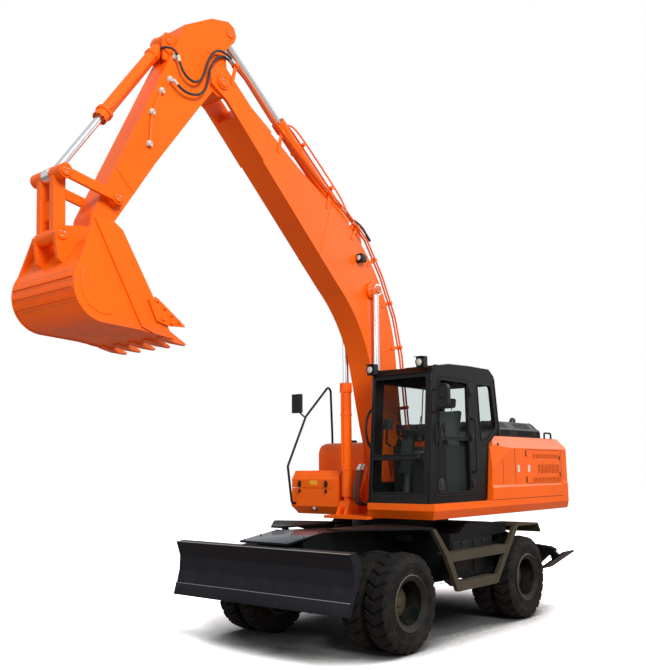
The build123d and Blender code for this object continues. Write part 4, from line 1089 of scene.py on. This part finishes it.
# %% Toolbox, tank and tail
BUTTON = ((0, 0.016), (0.012, 0.014), (0.014, 0.01), (0.014, 0))
for name, body, parts in (("lid_latches", "toolbox_lid", ((1716, 1800, 14, 0.020), (1735, 1775, 26, 0.012))),
                          ("box_latches", "upper", ((1640, 1688, 12, 0.020),))):
    latch = Maker()
    for y in (-1085, -625):
        for z0, z1, half, deep in parts:
            latch.slab(front_view(775.5, oblong(y - half, y + half, z0, z1)), (deep, 0, 0))
        if body == "toolbox_lid":
            for loop_y in (y - 9, y + 9):
                latch.tube([at(786, loop_y, 1780), at(797, loop_y, 1760), at(797, loop_y, 1722)], 0.0035, 6)
            latch.turned(at(786, y, 1786), ALONG_X, BUTTON, 16)
    latch.done(name, body, black_plastic, 0.0015)
Maker().card(front_view(776, oblong(-910, -780, 1745, 1800)), 0.006, (0.0012, 0, 0)).done(
    "lid_blank_label", "toolbox_lid", label_yellow)
work_lamp(at(752, -842, 1452), 0.040, "upper", "skirt_lamp")

CAP = ((0, 0.075), (0.010, 0.075), (0.012, 0.055), (0.035, 0.055), (0.042, 0.048), (0.042, 0))
Maker().turned(at(-140, -880, 2308), ALONG_Z, CAP, 28).done("tank_cap", "upper", black_plastic)
bands = Maker()
for x in (-560, 60):
    bands.slab(side_view(-1226, oblong(x - 20, x + 20, 1550, 2262)), (0, -0.004, 0))
bands.done("tank_bands", "upper", orange, 0.001)
Maker().slab(side_view(-1225, oblong(-330, -300, 1680, 2080)), (0, -0.010, 0)).done(
    "tank_gauge", "upper", zinc, 0.002)


def tail_x(z, y):
    """How far back the counterweight's face is: it leans and bows."""
    flat = -2740 - 70 * (z - 1363) / 137 if z < 1500 else -2810 + 20 * (z - 1500) / 740
    bow = -2800 + abs(y) * 0.05 if abs(y) < 800 else -2760 + (abs(y) - 800) * 120 / 380
    return max(flat, bow)


tail, reds, ambers, grab = Maker(), Maker(), Maker(), Maker()
for s in SIDES:
    y = s * 900
    x = max(tail_x(1640, y - s * 90), tail_x(1640, y + s * 90))
    tail.card(front_view(x + 6, oblong(y - 150, y + 150, 1590, 1690)), 0.015, (-0.05, 0, 0))
    reds.card(front_view(x - 43, oblong(y - 135, y + 20, 1603, 1677)), 0.010, (-0.012, 0, 0))
    ambers.card(front_view(x - 43, oblong(y + 32, y + 135, 1603, 1677)), 0.010, (-0.012, 0, 0))
    x = tail_x(1600, s * 620)
    tail.card(front_view(x + 6, oblong(s * 350, s * 620, 1600, 1700)), 0.01, (-0.018, 0, 0))
    y = s * 1030
    grab.pipe(((-2500, y, 2366), (-2500, y, 2440), (-2480, y, 2452), (-2300, y, 2452), (-2280, y, 2440),
               (-2280, y, 2366)), 0.014)
tail.done("tail_housings", "upper", black_plastic, 0.003)
reds.done("tail_lamps_red", "upper", red_lens, 0.003)
ambers.done("tail_lamps_amber", "upper", amber_lens, 0.003)
grab.done("hood_handrails", "upper", black_plastic)
print("toolbox, tank and tail done")

# %% [markdown]
# Cylinder plumbing. Steel pipes are held by clips along the barrels and ride on them. Short hoses
# join them to the boom. The hoses at the boom's foot and the two in front ride on no body and stay
# where they are drawn.

# %% Cylinder pipes and hoses
BOOM_CYLINDER_X, BOOM_CYLINDER_Y = 740, 255
FITTING = ((0, 0.016), (0.002, 0.026), (0.030, 0.026), (0.032, 0.021), (0.085, 0.021), (0.088, 0.017))
FRONT_HOSES = ((905, -10), (845, 8))
arm_base, bucket_base = on_boom(940, 0, 5030), on_boom(4100, 0, 6380)
arm_along = (on_boom(3260, 0, 6800) - arm_base).normalized()
bucket_along = (on_boom(5315, 0, 4585) - bucket_base).normalized()

pipes, short, clips = Maker(), Maker(), Maker()
pipes.pipe(((2236, 0, 6118), (2185, 0, 6148), (1700, 0, 5778), (1240, 0, 5428), (1130, 0, 5335),
            (1075, 0, 5260)), 0.011, on_boom)
pipes.pipe(((2204, 40, 6078), (2150, 60, 6112), (1900, 74, 5945), (1300, 74, 5480), (1130, 60, 5350),
            (1050, 50, 5240)), 0.011, on_boom)
short.pipe(((1075, 0, 5262), (1010, 0, 5160), (940, 20, 5215), (840, 120, 5105), (780, 160, 4985),
            (745, 160, 4905)), 0.015, on_boom)
short.pipe(((1052, 50, 5243), (990, 70, 5150), (930, 105, 5150), (850, 150, 5050), (800, 190, 4960),
            (760, 200, 4900)), 0.015, on_boom)
above = Vector((-arm_along.z, 0, arm_along.x))
for reach in (0.62, 1.30):
    mid = arm_base + arm_along * reach
    for shift in (0.006, 0.028):
        clips.tube(ring(mid + arm_along * shift, above, ALONG_Y, 0.080, 28), 0.006, closed=True)
    corner = mid + above * 0.080 - ALONG_Y * 0.018
    clips.slab([corner + arm_along * a + above * b for a, b in oblong(0, 0.034, 0, 0.052)], ALONG_Y * 0.100)
pipes.done("arm_cylinder_pipes", "arm_barrel", orange)
clips.done("arm_cylinder_clips", "arm_barrel", orange)
short.done("arm_cylinder_hoses", "boom", hose_black)

foot, front, ends, lower_ends = Maker(), Maker(), Maker(), Maker()
for x, start_y, z, y in ((165, 160, 2700, 150), (-40, 160, 2452, 120), (-40, 200, 2452, 180)):
    foot.pipe(((x, start_y, z), (x / 2 - 10, y + 20, 2360), (-35, y + 10, 2150), (-50, y, 1960),
               (-110, y, 1800), (-260, y - 20, 1700), (-430, y - 40, 1700)), 0.016, on_boom)
foot_hoses = foot.done("boom_foot_hoses", None, hose_black)
on_boom(-240, 150, 1700)
on_boom(-20, 150, 2250)
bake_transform(foot_hoses)
for x, y in FRONT_HOSES:
    front.pipe(((x - 70, y, 1990), (x - 20, y, 1930), (x + 40, y, 1800), (x + 70, y, 1650), (x + 45, y, 1540),
                (x - 60, y + 15, 1500), (x - 200, y + 20, 1520), (x - 260, y + 10, 1600)), 0.017, sides=12)
    ends.turned(at(x - 76, y, 1996), (0.7, 0, -0.7), FITTING, 12)
    lower_ends.turned(at(x - 262, y + 10, 1606), (0.3, 0, -1), ((-0.05, 0.016), *FITTING[1:]), 12)
front_hoses = front.done("boom_front_hoses", None, hose_black)
at(880, 0, 1560)
at(830, 0, 1930)
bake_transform(front_hoses)
BOW = ((730, 120, 2700), (810, 124, 2660), (880, 126, 2540), (890, 126, 2400), (850, 126, 2270),
       (760, 120, 2190), (640, 110, 2160))
Maker().pipe(BOW, 0.017, sides=12).done("boom_bow_hose", "boom", hose_black)
ends.done("hose_fittings", "boom_barrels", zinc)
lower_ends.done("hose_fittings_lower", "upper", zinc)

barrel_pipes, glands = Maker(), []
for s in SIDES:
    y = s * BOOM_CYLINDER_Y
    drop = [(x, y, z) for x, z in ((818, 2960), (832, 2930), (832, 2400), (832, 1960), (812, 1900))]
    barrel_pipes.pipe(drop, 0.012, on_boom)
    for z in (1934, 2634):
        barrel_pipes.turned(on_boom(BOOM_CYLINDER_X, y, z), ALONG_Z, collar(0.032, 0.0735, 0.0755, 0.002), 24)
    barrel_pipes.turned(on_boom(BOOM_CYLINDER_X, y, 2952), ALONG_Z, collar(0.031, 0.0755, 0.0825, 0.003), 28)
    glands += circle_of(on_boom(BOOM_CYLINDER_X, y, 3059), ALONG_Z, 0.062, 8, 0.008)
barrel_pipes.done("boom_cylinder_pipes", "boom_barrels", orange)
fasteners("boom_gland_bolts", "boom_barrels", glands, dark_steel)
fasteners("arm_gland_bolts", "arm_barrel",
          circle_of(arm_base + arm_along * 1.748, arm_along, 0.066, 8, 0.008), dark_steel)
fasteners("bucket_gland_bolts", "bucket_barrel",
          circle_of(bucket_base + bucket_along * 1.308, bucket_along, 0.057, 8, 0.008), dark_steel)
collars = Maker()
collars.turned(bucket_base + bucket_along * 1.190, bucket_along, collar(0.044, 0.0735, 0.086, 0.004), 28)
collars.turned(bucket_base + bucket_along * 0.20, bucket_along, collar(0.054, 0.066, 0.078, 0.004), 28)
PIPE = ((4190, 72, 6262), (4200, 84, 6230), (4420, 84, 5905), (4700, 84, 5492), (4760, 76, 5400))
collars.pipe(PIPE, 0.010, on_boom)
collars.done("bucket_cylinder_collars", "bucket_barrel", orange)
STUB = ((4050, 200, 6190), (4072, 200, 6228), (4120, 180, 6262), (4175, 120, 6268), (4190, 84, 6258))
Maker().pipe(STUB, 0.013, on_boom).done("bucket_cylinder_hose", "arm", hose_black)
print("plumbing:", made["arm_cylinder_pipes"], "triangles in the longest")

# %% [markdown]
# The pale blocks on the arm's side each hold the pipes with two bolts. Weld seams run where
# plates join: low beads that follow the joint, built as a tube along a wavering line.

# %% Arm blocks and welds
WELD = 0.006
blocks, block_bolts = Maker(), []
for x, z in ((4050, 6195), (4112, 5922), (4215, 5761), (4329, 5493), (4351, 5150)):
    blocks.slab(side_view(139.9, oblong(x - 27, x + 27, z - 27, z + 27), on_boom), (0, 0.039, 0))
    block_bolts += [(on_boom(x - a, 178.5, z + a), ALONG_Y, 0.008) for a in (13, -13)]
blocks.done("arm_blocks", "arm", zinc, 0.004)
fasteners("arm_block_bolts", "arm", block_bolts, steel)


def weld(beads, y, points):
    """A bead along a line on both sides: a thin tube whose middle wavers a little, step by step."""
    for s in SIDES:
        line = side_view(s * y, points, on_boom)
        smooth = []
        for one, two in zip(line, line[1:]):
            steps = max(2, int((two - one).length / 0.02))
            smooth += [one + (two - one) * (k / steps) + Vector((0, 0, 0.0012 * math.sin(k * 2.1)))
                       for k in range(steps)]
        beads.tube(smooth + [line[-1]], WELD, 6)


beads = Maker()
weld(beads, 185.5, ((2640, 5830), (2760, 5440)))
weld(beads, 170.5, ((1520, 5225), (1760, 4520)))
weld(beads, 170.5, ((255, 3550), (800, 3340)))
for s in SIDES:
    boss = ring(on_boom(740, s * 170.5, 4240), ALONG_X, ALONG_Z, 0.112, 24)
    beads.tube(boss + boss[:1], WELD, 6)
beads.done("boom_welds", "boom", orange)
beads = Maker()
weld(beads, 140.5, ((4500, 4600), (4620, 4700), (4725, 4820)))
weld(beads, 140.5, ((3330, 6565), (3420, 6470), (3600, 6440)))
beads.done("arm_welds", "arm", orange)
print("welds done")

# %% [markdown]
# Bucket: each side cutter is held by bolts in a row, the teeth sit on adapters with a pin across,
# and a weld arc stiffens the side plate.

# %% Bucket details
CUTTER_BOLTS = ((4245, 3318), (4330, 3372), (4415, 3428), (4500, 3484), (4330, 3300), (4430, 3322))
cutter_bolts = [(spot, (0, s, 0), 0.017) for s in SIDES for spot in side_view(s * 536, CUTTER_BOLTS, on_boom)]
fasteners("side_cutter_bolts", "bucket", cutter_bolts, bucket_orange)
pins, arc = Maker(), Maker()
for i in range(5):
    y = 227 * (i - 2)
    pins.turned(on_boom(4330, y - 52, 3186), ALONG_Y, collar(0.104, 0.010, 0.013, 0.002), 14)
    pins.slab([on_boom(4300, y - 54, 3209), on_boom(4398, y - 60, 3206), on_boom(4398, y + 60, 3206),
               on_boom(4300, y + 54, 3209)], (0, 0, 0.014))
pins.done("tooth_adapters", "bucket", bucket_orange, 0.003)
weld(arc, 500.5, [(5032 + 250 * math.cos(a), 3543 + 250 * math.sin(a))
                  for a in (math.radians(-110 + 12 * k) for k in range(13))])
arc.done("bucket_welds", "bucket", bucket_orange)
print("bucket bolts:", len(cutter_bolts))

# %% [markdown]
# Undercarriage: a ring of bolts under the slew ring, propeller shafts from the gearbox to both
# axles, locker doors with hinges and hasps, hoses to the blade and outriggers, and the smooth
# grey cover that slopes down behind the blade.

# %% Undercarriage
fasteners("slew_ring_bolts", "chassis", circle_of(at(0, 0, 1175), ALONG_Z, 0.665, 36, 0.013), dark_steel)
shafts = Maker()
for start, end in ((at(-60, 0, 600), at(1430, 0, 560)), (at(-520, 0, 560), at(-960, 0, 540))):
    half = ((0, 0.07), (0.02, 0.07), (0.022, 0.045), (0.09, 0.05), (0.10, 0.038))
    reach = (end - start).length
    shafts.turned(start, end - start, half + tuple((reach - a, r) for a, r in reversed(half)), 20)
shafts.done("propeller_shafts", "chassis", dark_steel, slot="chassis_black")
axle_bolts = []
for x in AXLE_X.values():
    for s in SIDES:
        axle_bolts += circle_of(at(x, s * 60, WHEEL_Z), (0, s, 0), 0.19, 10, 0.010)
fasteners("axle_bolts", "chassis", axle_bolts, dark_steel)

doors, hasps, lines = Maker(), Maker(), Maker()
for s in SIDES:
    for x0, x1 in ((-530, -60), (-40, 440)):
        doors.card(side_view(s * 1050, oblong(x0, x1, 680, 1080)), 0.02, (0, s * 0.006, 0))
    for x in (-300, 200):
        hasps.slab(side_view(s * 1056, oblong(x - 30, x + 30, 1030, 1062)), (0, s * 0.012, 0))
    for x in (-515, -145, -25, 355):
        hasps.turned(at(x, s * 1058, 684), ALONG_X, collar(0.07, 0.008, 0.011, 0.002), 12)
    lines.pipe(((1760, s * 60, 1060), (1800, s * 70, 1120), (1900, s * 88, 1140), (2010, s * 100, 1080),
                (2080, s * 110, 990), (2110, s * 110, 930)), 0.013)
    lines.pipe(((-1880, s * 150, 1010), (-1960, s * 170, 1060), (-2020, s * 230, 1110),
                (-2060, s * 300, 1110), (-2070, s * 330, 1060)), 0.013)
lines.pipe(((200, 330, 690), (500, 345, 655), (900, 350, 690), (1300, 352, 760), (1650, 352, 800),
            (1760, 340, 900)), 0.012)
doors.done("locker_doors", "chassis", black_frame, 0.002)
hasps.done("locker_hasps", "chassis", dark_steel, 0.001, "chassis_black")

COVER_SLOPE = 0.1368
Maker().slab([at(1995, -356, 1256), at(1995, 356, 1256), at(2598, 356, 1173.5), at(2598, -356, 1173.5)],
             (0, 0, 0.0025)).done("front_cover_skin", "chassis", cover_grey, 0.001)
fasteners("front_cover_bolts", "chassis",
          [(at(x, s * 325, 1258.4 - (x - 1995) * COVER_SLOPE), (COVER_SLOPE, 0, 1), 0.009)
           for x in (2040, 2300, 2560) for s in SIDES], dark_steel)
lines.done("chassis_hoses", "chassis", hose_black)
print("undercarriage done")

# %% [markdown]
# Tread plate: low studs in staggered rows on both steps and on the front decks. The same tree as
# for the bolts places them, with another head.

# %% Tread studs
studs, deck = [], []
for s in SIDES:
    for x0, x1, y0, y1, z in ((-390, 530, 1068, 1192, 632), (-670, 760, 1060, 1192, 975)):
        for row in range(int((y1 - y0) / 31)):
            for k in range(int((x1 - x0) / 40)):
                x = x0 + 20 + k * 40 + 20 * (row % 2)
                studs.append((at(x, s * (y0 + 16 + row * 31), z), ALONG_Z, 0.011))
    for row in range(17):
        y = 400 + row * 48
        for k in range(17):
            x = 800 + 26 * (row % 2) + k * 52
            if 790 + max(0, y - 345) * 0.38 < x < 1900 - max(0, y - 520) * 1.10 and math.hypot(x, y) > 730:
                deck.append((at(x, s * y, 1288), ALONG_Z, 0.013))
fasteners("step_studs", "chassis", studs, khaki, STUDS)
fasteners("deck_studs", "chassis", deck, black_frame, STUDS)
print("studs:", len(studs) + len(deck))

# %% [markdown]
# Wheels: the hub carries a ring of ten nuts round a stepped cap, and a valve stem shows on each
# outer rim. The pieces ride on the wheels, so they turn with them.

# %% Hubs
HUB_Y = 945.5
HUB_CAP = ((0, 0.060), (0.012, 0.058), (0.022, 0.046), (0.026, 0.02), (0.026, 0))
for end, x in AXLE_X.items():
    for side_name, s in (("left", 1), ("right", -1)):
        body, out = f"wheels_{end}_{side_name}", (0, s, 0)
        nuts = circle_of(at(x, s * (HUB_Y + 14), WHEEL_Z), out, 0.204, 10, 0.017)
        nuts += circle_of(at(x, s * (HUB_Y + 130), WHEEL_Z), out, 0.082, 6, 0.009)
        fasteners(f"wheel_nuts_{end}_{side_name}", body, nuts, khaki)
        cap = Maker().turned(at(x, s * (HUB_Y + 129), WHEEL_Z), out, HUB_CAP, 24)
        cap.tube([at(x, s * y, WHEEL_Z - z) for y, z in ((1206, 262), (1222, 258), (1232, 250))], 0.006)
        cap.done(f"hub_cap_{end}_{side_name}", body, khaki)
        rings = Maker()
        for r in (372, 338):
            y = s * (1247.2 - (425 - r) * 0.096)
            rings.tube(ring(at(x, y, WHEEL_Z), -ALONG_Z, ALONG_X, r / 1000, 72), 0.0045, 6, True)
        rings.done(f"tyre_rings_{end}_{side_name}", body, rubber)
print("wheels dressed:", 2 * len(AXLE_X))

# %% [markdown]
# Blade: a cutting edge is bolted along the lower front. A line of bright steel over it and another
# along the top are painted highlights where these edges catch the light. End plates and ribs
# stiffen the back.

# %% Blade
BLADE_Y = 1291           # half the length of the edge
END_PLATE = ((2560, 1060), (2700, 1112), (2665, 960), (2668, 800), (2716, 600), (2640, 720), (2545, 925))
edge_plate, worn, ribs = Maker(), Maker(), Maker()
edge_plate.slab(side_view(-BLADE_Y, ((2712.5, 662), (2719, 662), (2750.5, 537), (2745, 537))),
                (0, 2 * BLADE_Y / 1000, 0)).done("blade_edge", "blade", blade_black, 0.0015)
# Painted highlights: bright steel lines over the cutting edge and along the top edge.
worn.slab(side_view(-BLADE_Y, ((2713.5, 663), (2718.5, 663), (2718.0, 668), (2713.0, 668))),
          (0, 2 * BLADE_Y / 1000, 0))
worn.tube([at(2721, y, 1127) for y in (2 - BLADE_Y, 0, BLADE_Y - 2)], 0.0045)
worn.done("blade_worn_lines", "blade", steel)
blade_bolts = [(at(2722, y, 605), (1, 0, 0.1), 0.013) for y in range(-1200, 1201, 240)]
fasteners("blade_bolts", "blade", blade_bolts, blade_black)
for s in SIDES:
    ribs.slab(side_view(s * (BLADE_Y - 8), END_PLATE), (0, s * 0.010, 0))
for y in (-900, -450, 450, 900):
    ribs.slab(side_view(y - 6, ((2548, 925), (2556, 1060), (2500, 1000), (2500, 960))), (0, 0.012, 0))
ribs.done("blade_ribs", "blade", blade_black, 0.002)
print("pieces so far:", len(made), "triangles:", sum(made.values()))

# %% [markdown]
# The driver's seat is soft: a cushion, a backrest and a headrest, each a stuffed cloth cover. A
# block with rounded corners, a little smaller than the finished pad, is remeshed into small even
# faces and blown up by Blender's cloth simulation, which gives the crowned shape and the pulled-in
# edges of real upholstery. How far a point may move is capped, and the result becomes the mesh.

# %% Padded seat
PAD_VOXEL = 0.012        # size of the even faces, metres
PAD_LIMIT = 0.020        # how far a point may move, metres
PAD_FRAMES = 20


def pad_block(outline, thick, bevel):
    """A chamfered block for a pad: an outline in one plane and a thickness vector."""
    bm = Maker().slab(outline, thick).bm
    bmesh.ops.remove_doubles(bm, verts=bm.verts, dist=0.0001)
    bmesh.ops.recalc_face_normals(bm, faces=bm.faces)
    bmesh.ops.bevel(bm, geom=list(bm.edges), offset=bevel, segments=3, affect="EDGES", profile=0.6)
    mesh = bpy.data.meshes.new("pad")
    bm.to_mesh(mesh)
    bm.free()
    return mesh


def blow_up(pad):
    """Inflate a pad as cloth and move its points after it, no further than the limit."""
    stuffing = pad.modifiers.new("stuffing", "CLOTH")
    settings = stuffing.settings
    settings.quality = 5
    settings.mass = 0.4
    settings.use_pressure = True
    settings.uniform_pressure_force = 4.0
    settings.effector_weights.gravity = 0
    settings.tension_stiffness = settings.compression_stiffness = 25
    stuffing.collision_settings.use_collision = False
    stuffing.point_cache.frame_start, stuffing.point_cache.frame_end = 1, PAD_FRAMES
    for step in range(1, PAD_FRAMES + 1):
        scene.frame_set(step)
    blown = [v.co.copy() for v in as_mesh(pad).vertices]
    pad.modifiers.remove(stuffing)
    scene.frame_set(1)
    for vertex, after in zip(pad.data.vertices, blown):
        shift = after - vertex.co
        vertex.co = vertex.co + shift * min(1.0, PAD_LIMIT / max(shift.length, 1e-6))


def stuffed(name, mesh):
    """Remesh a block, inflate it and return it as a piece."""
    pad = placed(name, mesh)
    remesh = pad.modifiers.new("even_faces", "REMESH")
    remesh.mode = "VOXEL"
    remesh.voxel_size = PAD_VOXEL
    even = as_mesh(pad)
    pad.modifiers.remove(remesh)
    pad.data = even
    blow_up(pad)
    soften = pad.modifiers.new("softer", "SUBSURF")
    soften.levels = soften.render_levels = 1
    final = as_mesh(pad)
    bpy.data.objects.remove(pad)
    final.name = name
    final.materials.clear()
    final.materials.append(cloth)
    for face in final.polygons:
        face.use_smooth = True
    piece = keep(name, final, "upper")
    return piece


cushion = plan_view(2034, oblong(58, 545, 492, 948))
backrest = side_view(512, ((46, 2172), (-58, 2700), (-150, 2700), (-64, 2172)))
headrest = side_view(610, ((-78, 2722), (-96, 2846), (-160, 2846), (-142, 2722)))
for name, outline, thick, bevel in (("seat_cushion", cushion, (0, 0, 0.112), 0.032),
                                    ("seat_backrest", backrest, (0, 0.416, 0), 0.030),
                                    ("seat_headrest", headrest, (0, 0.22, 0), 0.022)):
    pad = stuffed(name, pad_block(outline, thick, bevel))
    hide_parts("seat")
piping = Maker().tube(rounded(plan_view(2090, oblong(48, 555, 482, 958)), 0.05), 0.004, 6, True)
for y in (660, 780):
    piping.tube([at(-100, y, 2690), at(-118, y, 2735)], 0.006)
piping.done("seat_piping", "upper", gasket, slot="seat_fabric")
print("seat:", made["seat_cushion"], made["seat_backrest"], made["seat_headrest"], "triangles")
